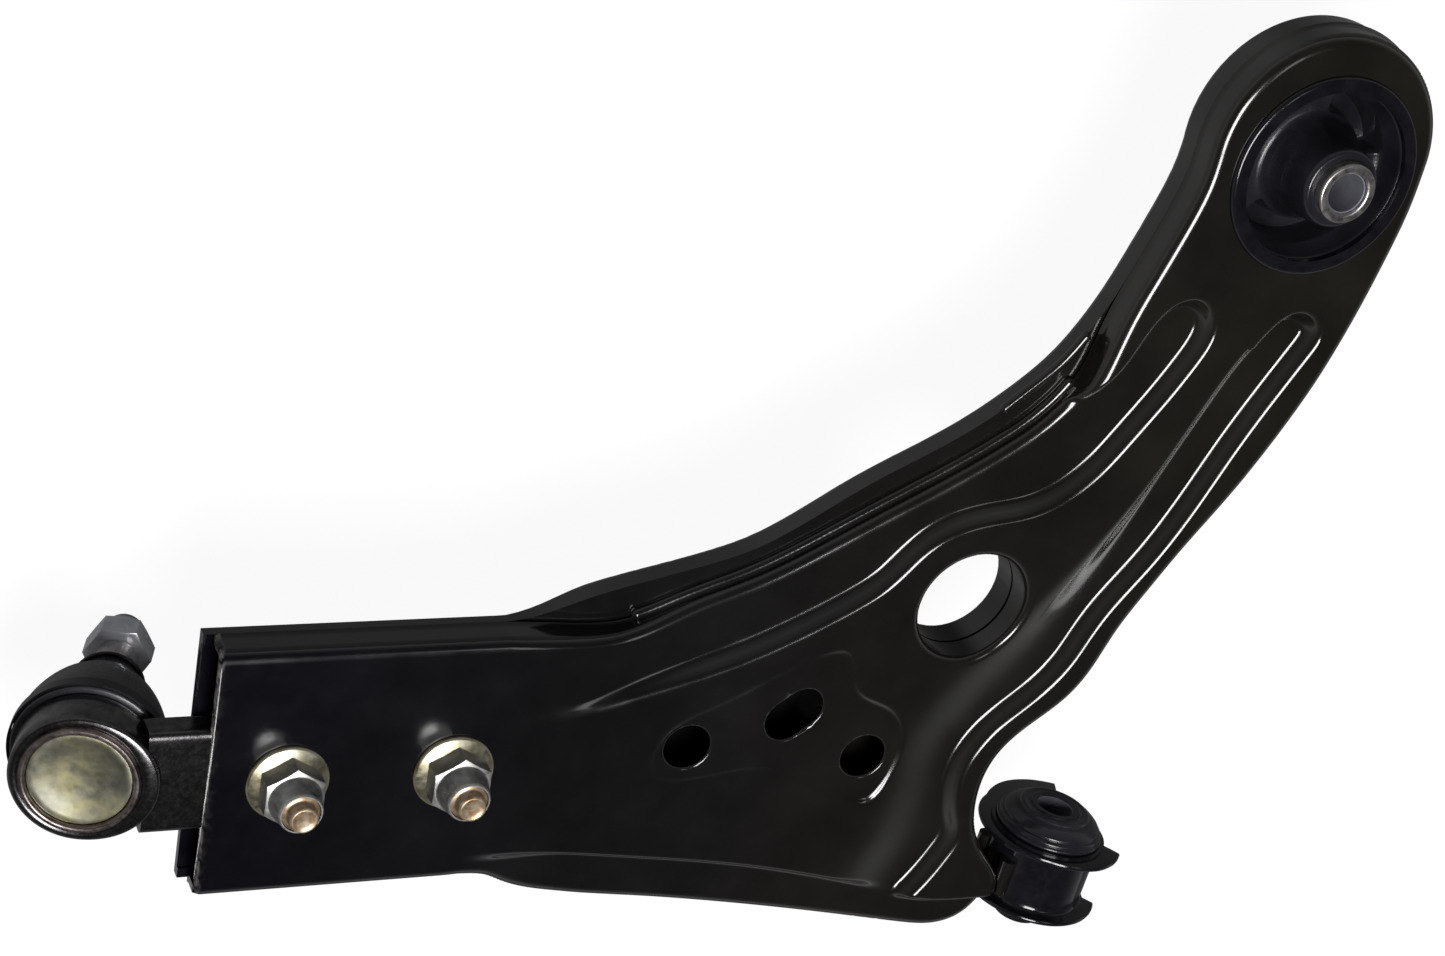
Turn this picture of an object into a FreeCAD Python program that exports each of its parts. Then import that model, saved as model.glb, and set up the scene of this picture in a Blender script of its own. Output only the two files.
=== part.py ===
import FreeCAD, Part
import Sketcher
import math
import os

from FreeCAD import Placement, Rotation, Vector

# Lower control arm of a small car: two stamped sheets welded back to back, a front bush that lies along
# the arm's edge, a rear bush with an upright axis, and a ball joint bolted in at the outer end.
# +Z is the side with the nuts, +X points inboard along the ball joint's two bolts, and the origin is the
# middle of the front bush. The middles of both bushes lie on the line that the arm swings about.

SIZES = {
    # stamped sheets
    "plate": 2.6,              # thickness of both sheets
    "face": 12.0,              # height of the front sheet's flat face
    "seam": 0.0,               # height at which the two sheets meet
    "seam_gap": 0.4,
    "back_outer": -4.0,        # underside of the back sheet at the ball joint
    "back_inner": -10.0,       # underside of the back sheet between the bushes
    "step": 6.0,               # how far the borders and grooves lie below the face
    "outer_end": -304.6,       # outboard edge of the front sheet
    "eye_rad": 40.5,           # outside of the eye round the rear bush
    "eye_x": 30.4,
    "eye_y": 270.5,
    "bend": 3.0,               # outside radius of the sheets' bends
    "big_rad": 19.2,           # inside of the large hole's lip
    "big_x": -56.6,
    "big_y": 111.1,
    "small_rad": 7.9,
    # front bush, along the swing line
    "collar_rad": 19.2,
    "collar_bore": 17.4,
    "collar_half": 12.5,
    "lip_rad": 24.3,           # room for the collar's flanges beside the sheets
    "lip": 1.8,                # thickness of the collar's flanges
    "shell_bore": 16.0,        # inside of the bush's outer sleeve
    "front_sleeve_rad": 8.9,
    "front_sleeve_bore": 6.25,
    "front_sleeve_half": 22.2,
    "bond": 0.05,              # left between rubber and the sleeve it is bonded to
    # rear bush, upright
    "rear_x": 31.3,
    "rear_y": 264.8,
    "ring_rad": 33.5,
    "ring_bore": 31.0,
    "ring_top": 13.6,
    "ring_bottom": -12.6,
    "rear_sleeve_rad": 10.0,
    "rear_sleeve_bore": 6.4,
    "rear_sleeve_half": 26.4,
    # ball joint
    "bolt_y": 60.8,            # line of the two bolts and the ball joint
    "bolt_outer": -280.3,
    "bolt_inner": -227.7,
    "cap_x": -341.6,           # middle of the end cap
    "cap_z": 4.5,
    "lean": 20.0,              # degrees between the ball joint's axis and Z
    "ball_depth": 14.0,        # end cap to ball centre
    "ball_rad": 11.0,
    "housing_rad": 21.4,
    "housing_len": 19.0,
    "tail_half": 18.0,
    "bolt_rad": 6.0,
    "bolt_hole": 6.4,
    "flange_rad": 13.0,
    "hex_flats": 18.0,
}

doc = FreeCAD.newDocument("control_arm")
sheet = doc.addObject("Spreadsheet::Sheet", "dim")
for row, (name, number) in enumerate(SIZES.items(), start=1):
    sheet.set(f"A{row}", name)
    sheet.set(f"B{row}", str(number))
    sheet.setAlias(f"B{row}", name)
doc.recompute()

pieces = []


def value(formula):
    """The number that a formula of the sheet's sizes comes to."""
    return float(sheet.evalExpression(str(formula)))


def bind(obj, **formulas):
    """Tie properties to formulas of the sheet's sizes."""
    for name, formula in formulas.items():
        obj.setExpression(name, str(formula))
    return obj


def place(obj, x="0", y="0", z="0", turn=None):
    """Put obj at a place given by formulas, turned by a Rotation."""
    obj.Placement = Placement(Vector(value(x), value(y), value(z)), turn or Rotation())
    for axis, formula in zip("xyz", (x, y, z)):
        obj.setExpression(f"Placement.Base.{axis}", str(formula))
    return obj


def piece(obj, label):
    """Mark obj as one piece of the assembly."""
    obj.Label = label
    pieces.append(obj)
    return obj


# ---------------------------------------------------------------- places

SWING = Vector(value("dim.rear_x"), value("dim.rear_y"), 0).normalize()
ALONG_SWING = Rotation(Vector(0, 0, 1), SWING)
LEAN = math.radians(value("dim.lean"))
STUD = Vector(math.sin(LEAN), 0, -math.cos(LEAN))
ALONG_STUD = Rotation(Vector(0, 1, 0), 180 - value("dim.lean"))


def at_cap(obj):
    """Local Z runs from the end cap's middle down the ball joint's axis to the stud's tip."""
    return place(obj, "dim.cap_x", "dim.bolt_y", "dim.cap_z", ALONG_STUD)


def at_rear(obj):
    return place(obj, "dim.rear_x", "dim.rear_y", "0")


def at_front(obj):
    return place(obj, turn=ALONG_SWING)


# ---------------------------------------------------------------- builders

def origin_plane(body, role):
    return next(o for o in body.Origin.OriginFeatures if o.Role == role)


def cornered(body, name, plane, corners):
    """A closed straight-sided sketch whose corners are pairs of formulas."""
    sketch = body.newObject("Sketcher::SketchObject", name)
    sketch.AttachmentSupport = [(origin_plane(body, plane), "")]
    sketch.MapMode = "FlatFace"
    spots = [Vector(value(u), value(v), 0) for u, v in corners]
    for start, end in zip(spots, spots[1:] + spots[:1]):
        sketch.addGeometry(Part.LineSegment(start, end), False)
    count = len(corners)
    for k in range(count):
        sketch.addConstraint(Sketcher.Constraint("Coincident", k, 2, (k + 1) % count, 1))
    for k, (corner, spot) in enumerate(zip(corners, spots)):
        for kind, formula, number, line in (("DistanceX", corner[0], spot.x, -2),
                                            ("DistanceY", corner[1], spot.y, -1)):
            if abs(number) < 1e-9:
                sketch.addConstraint(Sketcher.Constraint("PointOnObject", k, 1, line))
            else:
                made = sketch.addConstraint(Sketcher.Constraint(kind, -1, 1, k, 1, number))
                sketch.setExpression(f"Constraints[{made}]", str(formula))
    return sketch


def turned(name, corners):
    """A body made by turning an outline of (radius, height) corners about its own Z."""
    body = doc.addObject("PartDesign::Body", name)
    sketch = cornered(body, f"{name}_outline", "XZ_Plane", corners)
    spin = body.newObject("PartDesign::Revolution", f"{name}_turn")
    spin.Profile = sketch
    spin.ReferenceAxis = (sketch, ["V_Axis"])
    spin.Angle = 360
    sketch.Visibility = False
    doc.recompute()
    return body


def round_edges(body, name, radius, wanted):
    """Fillet the edges of the body's last feature that wanted() picks."""
    tip = body.Tip
    names = [f"Edge{k}" for k, edge in enumerate(tip.Shape.Edges, 1) if wanted(edge)]
    fillet = body.newObject("PartDesign::Fillet", name)
    fillet.Base = (tip, names)
    bind(fillet, Radius=radius)
    doc.recompute()
    return fillet


def ring_edge(edge, radius, height):
    """Is edge a full circle of this radius at this local height?"""
    curve = edge.Curve
    return (isinstance(curve, Part.Circle) and abs(curve.Radius - value(radius)) < 0.01
            and abs(curve.Center.z - value(height)) < 0.01)


def curve(points, start=None, end=None):
    """A smooth edge through points, optionally leaving and arriving along given directions."""
    spline = Part.BSplineCurve()
    spots = [Vector(x, y, 0) for x, y in points]
    if start:
        spline.interpolate(Points=spots, InitialTangent=Vector(*start, 0).normalize(),
                           FinalTangent=Vector(*end, 0).normalize(), Scale=False)
    else:
        spline.interpolate(spots)
    return spline


def line(a, b):
    return Part.LineSegment(Vector(*a, 0), Vector(*b, 0))


def region(name, geometry):
    """A sketch on the ground plane holding one closed outline."""
    sketch = doc.addObject("Sketcher::SketchObject", name)
    for item in geometry:
        sketch.addGeometry(item, False)
    return sketch


def beside(edge, by):
    """A smooth edge that runs at a distance to the left of another."""
    first, last = edge.FirstParameter, edge.LastParameter
    count = 3 * edge.NbPoles
    points = []
    for k in range(count + 1):
        place_on = first + (last - first) * k / count
        spot, way = edge.value(place_on), edge.tangent(place_on)[0]
        points.append((spot.x - way.y * by, spot.y + way.x * by))
    start, end = edge.tangent(first)[0], edge.tangent(last)[0]
    return curve(points, (start.x, start.y), (end.x, end.y))


def ring_through(points):
    """A smooth closed edge through points."""
    ring = Part.BSplineCurve()
    ring.interpolate(Points=[Vector(x, y, 0) for x, y in points], PeriodicFlag=True)
    return ring


def closed_by(edge, corners):
    """The edge, and straight lines from its end through corners back to its start."""
    ends = [edge.value(edge.LastParameter), edge.value(edge.FirstParameter)]
    spots = [(ends[0].x, ends[0].y)] + corners + [(ends[1].x, ends[1].y)]
    return [edge] + [line(a, b) for a, b in zip(spots, spots[1:])]


def slab(name, outline, bottom, top):
    """The outline drawn up from one height to another, both formulas."""
    block = doc.addObject("Part::Extrusion", name)
    block.Base = outline
    block.DirMode = "Custom"
    block.Dir = Vector(0, 0, 1)
    block.Solid = True
    bind(block, LengthFwd=f"({top}) - ({bottom})")
    block.setExpression("Placement.Base.z", str(bottom))
    return block


def cut(name, base, tool):
    result = doc.addObject("Part::Cut", name)
    result.Base = base
    result.Tool = tool
    return result


def fused(name, shapes):
    result = doc.addObject("Part::MultiFuse", name)
    result.Shapes = shapes
    return result


def common(name, shapes):
    result = doc.addObject("Part::MultiCommon", name)
    result.Shapes = shapes
    return result


def cylinder(name, radius, length, x="0", y="0", z="0"):
    rod = bind(doc.addObject("Part::Cylinder", name), Radius=radius, Height=length)
    return place(rod, x, y, z)


def rounded(name, base, radius, wanted):
    """Fillet the edges of base that wanted() picks."""
    doc.recompute()
    result = doc.addObject("Part::Fillet", name)
    result.Base = base
    picked = [k for k, edge in enumerate(base.Shape.Edges, 1) if wanted(edge)]
    result.Edges = [(k, value(radius), value(radius)) for k in picked]
    return result


def curved(edge):
    return not isinstance(edge.Curve, Part.Line)


def nothing_above(shape, edge):
    """Is the edge an outer one, with no material over it?"""
    middle = edge.valueAt((edge.FirstParameter + edge.LastParameter) / 2)
    return not any(shape.isInside(middle + Vector(x, y, 0.5), 0.01, True)
                   for x, y in ((0.5, 0), (-0.5, 0), (0, 0.5), (0, -0.5)))


def flat_at(height):
    """A test for edges that lie level at this height."""
    level = value(height)
    return lambda edge: abs(edge.BoundBox.ZMin - level) < 0.01 and abs(edge.BoundBox.ZMax - level) < 0.01


# ---------------------------------------------------------------- the two stamped sheets

OUTER = (-330, -215)      # straight run of the box that holds the ball joint, from beyond its open end
TOP_Y, BOTTOM_Y = 106.7, 19.5

FRONT_TOP = [(-215, TOP_Y), (-196, 105.4), (-178, 105), (-165, 108.5), (-152.5, 113.8), (-132.5, 121.5),
             (-112.5, 132), (-92, 144), (-72, 155.5), (-52, 168.5), (-41.5, 177.5), (-33.5, 188),
             (-29.6, 199), (-26, 214), (-20.5, 230), (-14.5, 247), (-11, 260)]
BACK_TOP = [(-215, TOP_Y), (-205, 107.8), (-188, 113.5), (-165, 120), (-144.5, 125.5), (-134.5, 129),
            (-100.5, 150), (-66.5, 170), (-52, 181), (-38.5, 194.5), (-31, 206), (-26, 216),
            (-20.5, 230), (-14.5, 247), (-11, 260)]
INBOARD = [(69.6, 254), (66.5, 238), (62, 220), (56.5, 202), (49.5, 184), (33.5, 153), (19.5, 131),
           (9.5, 114), (1.5, 99), (-4.5, 84), (-12.5, 72), (-24.5, 61.5), (-32.5, 52), (-35.8, 42),
           (-36, 32), (-33.5, 21), (-27.5, 11), (-21.5, 3), (-19.4, -4), (-21.5, -11), (-26, -17),
           (-32, -20.6), (-40, -21.8), (-52, -20), (-92, -11), (-152.5, 0.5), (-187, 6.5), (-203, 13),
           (-211, 17.6), (-220, BOTTOM_Y)]


def sheet_outline(name, top, inset="0"):
    """The arm's plan: the open outer box, the top edge, the eye, and the inboard and bottom edges."""
    x, y, rad, by = (value(formula) for formula in ("dim.eye_x", "dim.eye_y", "dim.eye_rad", f"-({inset})"))
    left, crown, right = ((x - rad - by, y), (x, y + rad + by), (x + rad + by, y))
    high, low = TOP_Y + by, BOTTOM_Y - by
    return region(name, [
        line((OUTER[0], high), (OUTER[1], high)),
        beside(curve(top + [(x - rad, y)], (1, 0), (0, 1)), by),
        Part.Arc(*(Vector(*p, 0) for p in (left, crown, right))),
        beside(curve([(x + rad, y)] + INBOARD, (0, -1), (-1, 0)), by),
        line((INBOARD[-1][0], low), (OUTER[0], low)),
        line((OUTER[0], low), (OUTER[0], high)),
    ])


BORDER = [(-60, 190), (-34, 186), (-24, 193), (-19, 202), (-14.5, 211.5), (-9, 218), (-2, 219.5), (3.5, 215),
          (4.4, 208), (0.5, 198.5), (-6, 187), (-15, 173), (-23.5, 161), (-35, 151), (-46, 146.5),
          (-58, 144.5), (-70, 141), (-78.5, 135.5), (-84.5, 129), (-89.5, 123), (-96, 117.5), (-114, 107),
          (-134, 97.5), (-154, 90.5), (-172, 85), (-189, 80.5), (-230, 80)]
GROOVE = [(43.5, 203), (36, 189), (26, 169), (16.5, 147.5), (5.5, 126.5), (-5.5, 110), (-11.5, 98.5),
          (-16.5, 87.5), (-24, 77.5), (-32, 70), (-39.5, 62), (-45.5, 51), (-47, 40), (-45, 28),
          (-42, 20), (-46, 12), (-54, 14), (-60, 24), (-63, 38), (-62, 54), (-56, 69), (-47, 81),
          (-37, 93), (-27, 107), (-17, 122), (-9, 136), (0, 154), (10, 176), (20, 197), (28, 210),
          (35, 215), (42, 212)]
BOTTOM = [(-240, 30), (-215, 27), (-195.5, 25.5), (-175.5, 23), (-155.5, 20), (-125.5, 15), (-95.5, 8),
          (-75.5, 2), (-60.5, -3.5), (-47.5, -7), (-32, -8), (-10, -8)]


def lowered_regions(suffix, by):
    """Plans of the areas stamped below the front sheet's face, moved outwards by a distance."""
    return {
        "border": region(f"border_{suffix}", closed_by(beside(curve(BORDER), by), [(-240, 80), (-240, 160)])),
        "groove": region(f"groove_{suffix}", [beside_ring(GROOVE, by)]),
        "bottom": region(f"bottom_{suffix}", closed_by(beside(curve(BOTTOM), by), [(-10, -40), (-240, -40)])),
    }


def beside_ring(points, by):
    """A smooth closed edge that runs at a distance outside one through points."""
    ring = ring_through(points)
    first, last = ring.FirstParameter, ring.LastParameter
    count = 4 * len(points)
    moved = []
    for k in range(count):
        place_on = first + (last - first) * k / count
        spot, way = ring.value(place_on), ring.tangent(place_on)[0]
        moved.append((spot.x - way.y * by, spot.y + way.x * by))
    return ring_through(moved)


def side_profile(name, corners):
    """A block as wide as the arm whose side view has corners given as formulas."""
    body = doc.addObject("PartDesign::Body", name)
    sketch = cornered(body, f"{name}_outline", "XZ_Plane", corners)
    block = body.newObject("PartDesign::Pad", f"{name}_block")
    block.Profile = sketch
    block.Length = 1000
    block.SideType = "Symmetric"
    sketch.Visibility = False
    doc.recompute()
    return body


def above_ramp(name, start, end, drop):
    """The space over the front sheet's lowered areas, which sink between two places along X."""
    top = f"dim.face - {drop}"
    low = f"{top} - dim.step"
    high = f"{top} + 9"
    return side_profile(name, [(start, high), (start, top), (end, low), (90, low), (90, high)])


def lowered(suffix, by, drop):
    """Solids to take off the front sheet's form; the inner form's are grown and dropped by one thickness."""
    tools = []
    for name, plan in lowered_regions(suffix, value(by)).items():
        block = slab(f"{name}_{suffix}_block", plan, f"dim.face - dim.step - {drop}", "dim.face + 2")
        if name != "groove":
            start, end = (-206, -150) if name == "border" else (-222, -190)
            block = common(f"{name}_{suffix}_sunk",
                           [block, above_ramp(f"{name}_{suffix}_ramp", start, end, drop)])
        tools.append(block)
    return fused(f"lowered_{suffix}", tools)


def swing_cylinder(name, radius, start, end):
    """A cylinder on the swing line, between two distances from the front bush's middle."""
    rod = bind(doc.addObject("Part::Cylinder", name), Radius=radius, Height=f"({end}) - ({start})")
    rod.Placement = Placement(SWING * value(start), ALONG_SWING)
    return rod


def sheet_openings(name, end, extra):
    """What is cut away from a finished sheet: its open outer end, the bush seats and the bolt holes."""
    below, tall = "dim.back_inner - 5", "dim.face - dim.back_inner + 10"
    box = bind(doc.addObject("Part::Box", f"{name}_end"), Length=100, Width=200, Height=60)
    place(box, f"{end} - 100", "-30", "-30")
    tools = [
        box,
        swing_cylinder(f"{name}_collar", "dim.collar_rad + 0.02", "-60", "60"),
        swing_cylinder(f"{name}_lip", "dim.lip_rad + 0.8", "-dim.collar_half - 12", "-dim.collar_half + 5"),
        cylinder(f"{name}_eye", "dim.ring_rad", tall, "dim.rear_x", "dim.rear_y", below),
        cylinder(f"{name}_big", "dim.big_rad", tall, "dim.big_x", "dim.big_y", below),
    ]
    for which in ("outer", "inner"):
        hole = cylinder(f"{name}_{which}", "dim.bolt_hole", tall, f"dim.bolt_{which}", "dim.bolt_y", below)
        tools.append(hole)
    return fused(f"{name}_openings", tools + extra)


def front_shell():
    plan = sheet_outline("front_plan", FRONT_TOP)
    solid = cut("front_form", slab("front_block", plan, "dim.seam + dim.seam_gap / 2", "dim.face"),
                lowered("outside", "0", "0"))
    doc.recompute()
    at_face, at_step, form = flat_at("dim.face"), flat_at("dim.face - dim.step"), solid.Shape
    solid = rounded("front_form_round", solid, "dim.bend",
                    lambda e: at_face(e) and (curved(e) or e.BoundBox.YMin > 100)
                    or at_step(e) and curved(e) and nothing_above(form, e))
    inside = sheet_outline("front_inside_plan", FRONT_TOP, "dim.plate")
    void = cut("front_void", slab("front_inside", inside, "dim.seam - 3", "dim.face - dim.plate"),
               lowered("inside", "dim.plate", "dim.plate"))
    lip = cylinder("front_big_lip", "dim.big_rad + dim.plate", "dim.face - dim.seam - dim.plate",
                   "dim.big_x", "dim.big_y", "dim.seam + dim.seam_gap / 2")
    formed = fused("front_formed", [cut("front_skin", solid, void), lip])
    small = [cylinder("hole_1", "dim.small_rad", 40, "-149.6", "64.3", "0"),
             cylinder("hole_3", "dim.small_rad", 40, "-84.5", "55.3", "0")]
    slot = region("slot_plan", slot_outline(-113.6, 74, 3.2, 7.4, 38))
    opened = cut("front_opened", formed,
                 sheet_openings("front", "dim.outer_end", small + [slab("slot", slot, "1", "40")]))
    return piece(opened, "front_shell")


def slot_outline(x, y, half, rad, angle):
    """A round-ended slot: its middle, half the distance between its ends' centres, their radius, its turn."""
    along = Vector(math.cos(math.radians(angle)), math.sin(math.radians(angle)), 0)
    side = Vector(-along.y, along.x, 0)
    middle = Vector(x, y, 0)
    a, b, c, d = (middle + along * (s * half) + side * (k * rad)
                  for s, k in ((-1, 1), (1, 1), (1, -1), (-1, -1)))
    return [Part.LineSegment(a, b), Part.Arc(b, middle + along * (half + rad), c),
            Part.LineSegment(c, d), Part.Arc(d, middle - along * (half + rad), a)]


def under_ramp(name, lift):
    """The space below the back sheet's floor, which is shallower at the ball joint than at the bushes."""
    high, low = f"dim.back_outer + {lift}", f"dim.back_inner + {lift}"
    deep = f"{low} - 9"
    return side_profile(name, [(-340, deep), (-176, deep), (-176, low), (-212, high), (-340, high)])


def back_shell():
    plan = sheet_outline("back_plan", BACK_TOP)
    inside = sheet_outline("back_inside_plan", BACK_TOP, "dim.plate")
    mouth = sheet_outline("back_mouth", FRONT_TOP, "dim.plate + 0.8")
    top, at_floor = "dim.seam - dim.seam_gap / 2", flat_at("dim.back_inner")
    block = rounded("back_block_round", slab("back_block", plan, "dim.back_inner", top), "dim.bend",
                    lambda e: at_floor(e) and curved(e))
    solid = cut("back_form", block, under_ramp("back_under", "0"))
    void = fused("back_void_all", [
        slab("back_inside", inside, "dim.back_inner + dim.plate", f"{top} - dim.plate"),
        slab("back_open", mouth, "dim.back_inner + 6", "5")])
    void = cut("back_void", void, under_ramp("back_floor", "dim.plate"))
    lip = cylinder("back_big_lip", "dim.big_rad + dim.plate", f"{top} - dim.back_inner - 1",
                   "dim.big_x", "dim.big_y", "dim.back_inner + 1")
    formed = fused("back_formed", [cut("back_skin", solid, void), lip])
    opened = cut("back_opened", formed, sheet_openings("back", "dim.outer_end - 3", []))
    return piece(opened, "back_shell")


# ---------------------------------------------------------------- welds

def bead(name, path, radius, height, minus):
    """A weld bead along a plan path at one height, trimmed where it meets the pieces it joins."""
    route = doc.addObject("Part::Feature", f"{name}_path")
    route.Shape = Part.Wire([path.toShape()])
    place(route, z=height)
    first = path.value(path.FirstParameter)
    section = bind(doc.addObject("Part::Circle", f"{name}_section"), Radius=radius)
    section.Placement = Placement(Vector(first.x, first.y, value(height)),
                                  Rotation(Vector(0, 0, 1), path.tangent(path.FirstParameter)[0]))
    doc.recompute()
    sweep = doc.addObject("Part::Sweep", f"{name}_sweep")
    sweep.Sections = [section]
    sweep.Spine = (route, ["Edge1"])
    sweep.Solid = True
    return cut(name, sweep, fused(f"{name}_minus", minus))


def weld_beads(forms):
    """A bead joins the front sheet's edge to the back sheet's ledge; a short one closes the ledge's end."""
    eye = (value("dim.eye_x - dim.eye_rad"), value("dim.eye_y"))
    route = curve(FRONT_TOP + [eye], (1, 0), (0, 1))
    route.segment(route.parameter(Vector(-172, 106.3, 0)), route.parameter(Vector(-33.2, 189, 0)))
    near, far = beside(route, 0.02), beside(route, 2.6)
    ends = [edge.value(at) for edge in (near, far) for at in (edge.FirstParameter, edge.LastParameter)]
    plan = region("ledge_bead_plan", [
        near, far, line((ends[0].x, ends[0].y), (ends[2].x, ends[2].y)),
        line((ends[1].x, ends[1].y), (ends[3].x, ends[3].y))])
    block = slab("ledge_bead_block", plan, "dim.seam - dim.seam_gap / 2 + 0.02", "dim.seam + 3")
    doc.recompute()
    at_top, shape = flat_at("dim.seam + 3"), block.Shape
    outer = max((e for e in shape.Edges if at_top(e) and curved(e)), key=lambda e: e.Length)
    piece(rounded("ledge_bead", block, "2.1", outer.isSame), "ledge_weld_bead")
    tip = bead("tip_bead", curve([(-58, 176), (-47, 186.2), (-38.5, 194.6), (-31.5, 205)]), 1.6,
               "dim.seam - dim.seam_gap / 2", forms)
    piece(tip, "ledge_end_weld_bead")


def collar_welds(forms):
    """A bead on each side where the sheets' nose runs into the front bush's collar."""
    beads, collar = [], swing_cylinder("weld_side_of_collar", "dim.collar_rad", "-40", "40")
    for which, height in (("upper", "dim.face - 3"), ("lower", "dim.back_inner + 2.5")):
        rod = bind(doc.addObject("Part::Cylinder", f"{which}_collar_bead"), Radius=3, Height=13)
        rod.Placement = Placement(Vector(-18.6, -6, value(height)), ALONG_SWING)
        beads.append(cut(f"{which}_collar_weld", rod, fused(f"{which}_collar_minus", forms + [collar])))
    both = doc.addObject("Part::Compound", "collar_beads")
    both.Links = beads
    piece(both, "collar_weld_beads")


# ---------------------------------------------------------------- front bush

# Outlines of the collar's flanges, as angle from the inboard side up towards the face, and radius.
UPPER_FLANGE = [(33, 27), (50, 26.4), (69, 25.5), (89, 24.2), (115, 22.6), (138, 22.8), (155, 24.4),
                (171, 24.8), (205, 24.8), (238, 25.6), (248, 27.2), (267, 30.4), (287, 33.5), (303, 35.6)]
LOWER_FLANGE = [(27, 25), (50, 24.4), (75, 24.2), (100, 24.2), (135, 24), (180, 24), (225, 24), (250, 24.4),
                (275, 26), (298, 27.4)]


def flange(name, outline, start):
    """A flange of the front collar: a rounded edge between two corners, cut back to the tube beyond them."""
    tilt = math.atan2(SWING.x, SWING.y)

    def spot(angle, rad):
        turn = -math.radians(angle) - tilt
        return rad * math.cos(turn), rad * math.sin(turn)
    first, last = outline[0][0] + 360, outline[-1][0]
    near = [spot(last + (first - last) * share, 21.2) for share in (0.1, 0.3, 0.5, 0.7, 0.9)]
    plan = region(f"{name}_plan", closed_by(curve([spot(*point) for point in outline]), near))
    return slab(name, plan, start, f"{start} + dim.lip")


def front_bush_collar():
    """A tube with a turned-out edge at each end, and an irregular flange on each edge."""
    half, lip, rim = "dim.collar_half", "dim.lip", "dim.collar_rad + 2"
    body = turned("collar", [
        ("dim.collar_bore", f"-{half}"), (rim, f"-{half}"), (rim, f"-{half} + {lip}"),
        ("dim.collar_rad", f"-{half} + {lip}"), ("dim.collar_rad", f"{half} - {lip}"),
        (rim, f"{half} - {lip}"), (rim, half), ("dim.collar_bore", half)])
    round_edges(body, "collar_flare", 1.6, lambda e: ring_edge(e, "dim.collar_rad", f"{half} - {lip}")
                or ring_edge(e, "dim.collar_rad", f"-{half} + {lip}"))
    bore = cylinder("collar_bore", "dim.collar_bore", "80", z="-40")
    both = fused("collar_flanges", [flange("upper_flange", UPPER_FLANGE, "dim.collar_half - dim.lip"),
                                    flange("lower_flange", LOWER_FLANGE, "-dim.collar_half")])
    collar = fused("collar_solid", [body, cut("collar_plates", both, bore)])
    piece(at_front(collar), "front_bush_collar")


def front_bush_outer_sleeve():
    top = "dim.collar_half"
    body = turned("outer_sleeve", [
        ("dim.shell_bore", f"-{top} - 1"), ("dim.collar_bore", f"-{top} - 1"), ("dim.collar_bore", top),
        ("dim.lip_rad - 3.7", top), ("dim.lip_rad - 3.7", f"{top} + 1.2"),
        ("dim.shell_bore", f"{top} + 1.2")])
    piece(at_front(body), "front_bush_outer_sleeve")


def front_bush_rubber():
    """A plug bonded between the two sleeves, with a dome at the rear end and a low rim at the other."""
    bore, rim, half = "dim.front_sleeve_rad + dim.bond", "dim.collar_half + 1.3", "dim.front_sleeve_half"
    dome = [(bore, f"{half} - 0.8"), ("dim.front_sleeve_rad + 3.4", f"{half} - 0.4"),
            ("dim.front_sleeve_rad + 3.6", f"{half} - 1.4"), ("dim.shell_bore - 0.5", f"{half} - 2.6"),
            ("dim.shell_bore + 2.2", f"{rim} + 2.6"), ("dim.shell_bore + 3.2", f"{rim} + 0.8"),
            ("dim.shell_bore + 3.2", rim), ("dim.shell_bore - dim.bond", rim)]
    low = [("dim.shell_bore - dim.bond", f"-({rim})"), ("dim.shell_bore + 1.5", f"-({rim})"),
           ("dim.shell_bore + 1.2", f"-({rim}) - 1.4"), ("dim.front_sleeve_rad + 4", f"-({rim}) - 3.4"),
           (bore, f"-({rim}) - 3.6")]
    piece(at_front(turned("front_rubber", dome + low)), "front_bush_rubber")


def sleeve(name, label, which):
    """A plain steel sleeve with chamfered ends, standing on its own Z."""
    rad, bore, half = (f"dim.{which}_sleeve_{what}" for what in ("rad", "bore", "half"))
    body = turned(name, [
        (bore, f"-{half} + 0.8"), (f"{bore} + 0.8", f"-{half}"), (f"{rad} - 0.6", f"-{half}"),
        (rad, f"-{half} + 0.6"), (rad, f"{half} - 0.6"), (f"{rad} - 0.6", half), (f"{bore} + 0.8", half),
        (bore, f"{half} - 0.8")])
    return piece(body, label)


# ---------------------------------------------------------------- rear bush

def rear_bush_ring():
    """The outer sleeve, rolled in over the rubber at its top."""
    body = turned("rear_ring", [
        ("dim.ring_bore", "dim.ring_bottom"), ("dim.ring_rad", "dim.ring_bottom"),
        ("dim.ring_rad", "dim.ring_top"), ("dim.ring_bore - 2.4", "dim.ring_top"),
        ("dim.ring_bore - 2.4", "dim.ring_top - 2"),
        ("dim.ring_bore", "dim.ring_top - 2")])
    round_edges(body, "rear_ring_round", 1.5, lambda e: ring_edge(e, "dim.ring_rad", "dim.ring_top"))
    piece(at_rear(body), "rear_bush_outer_sleeve")


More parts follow.
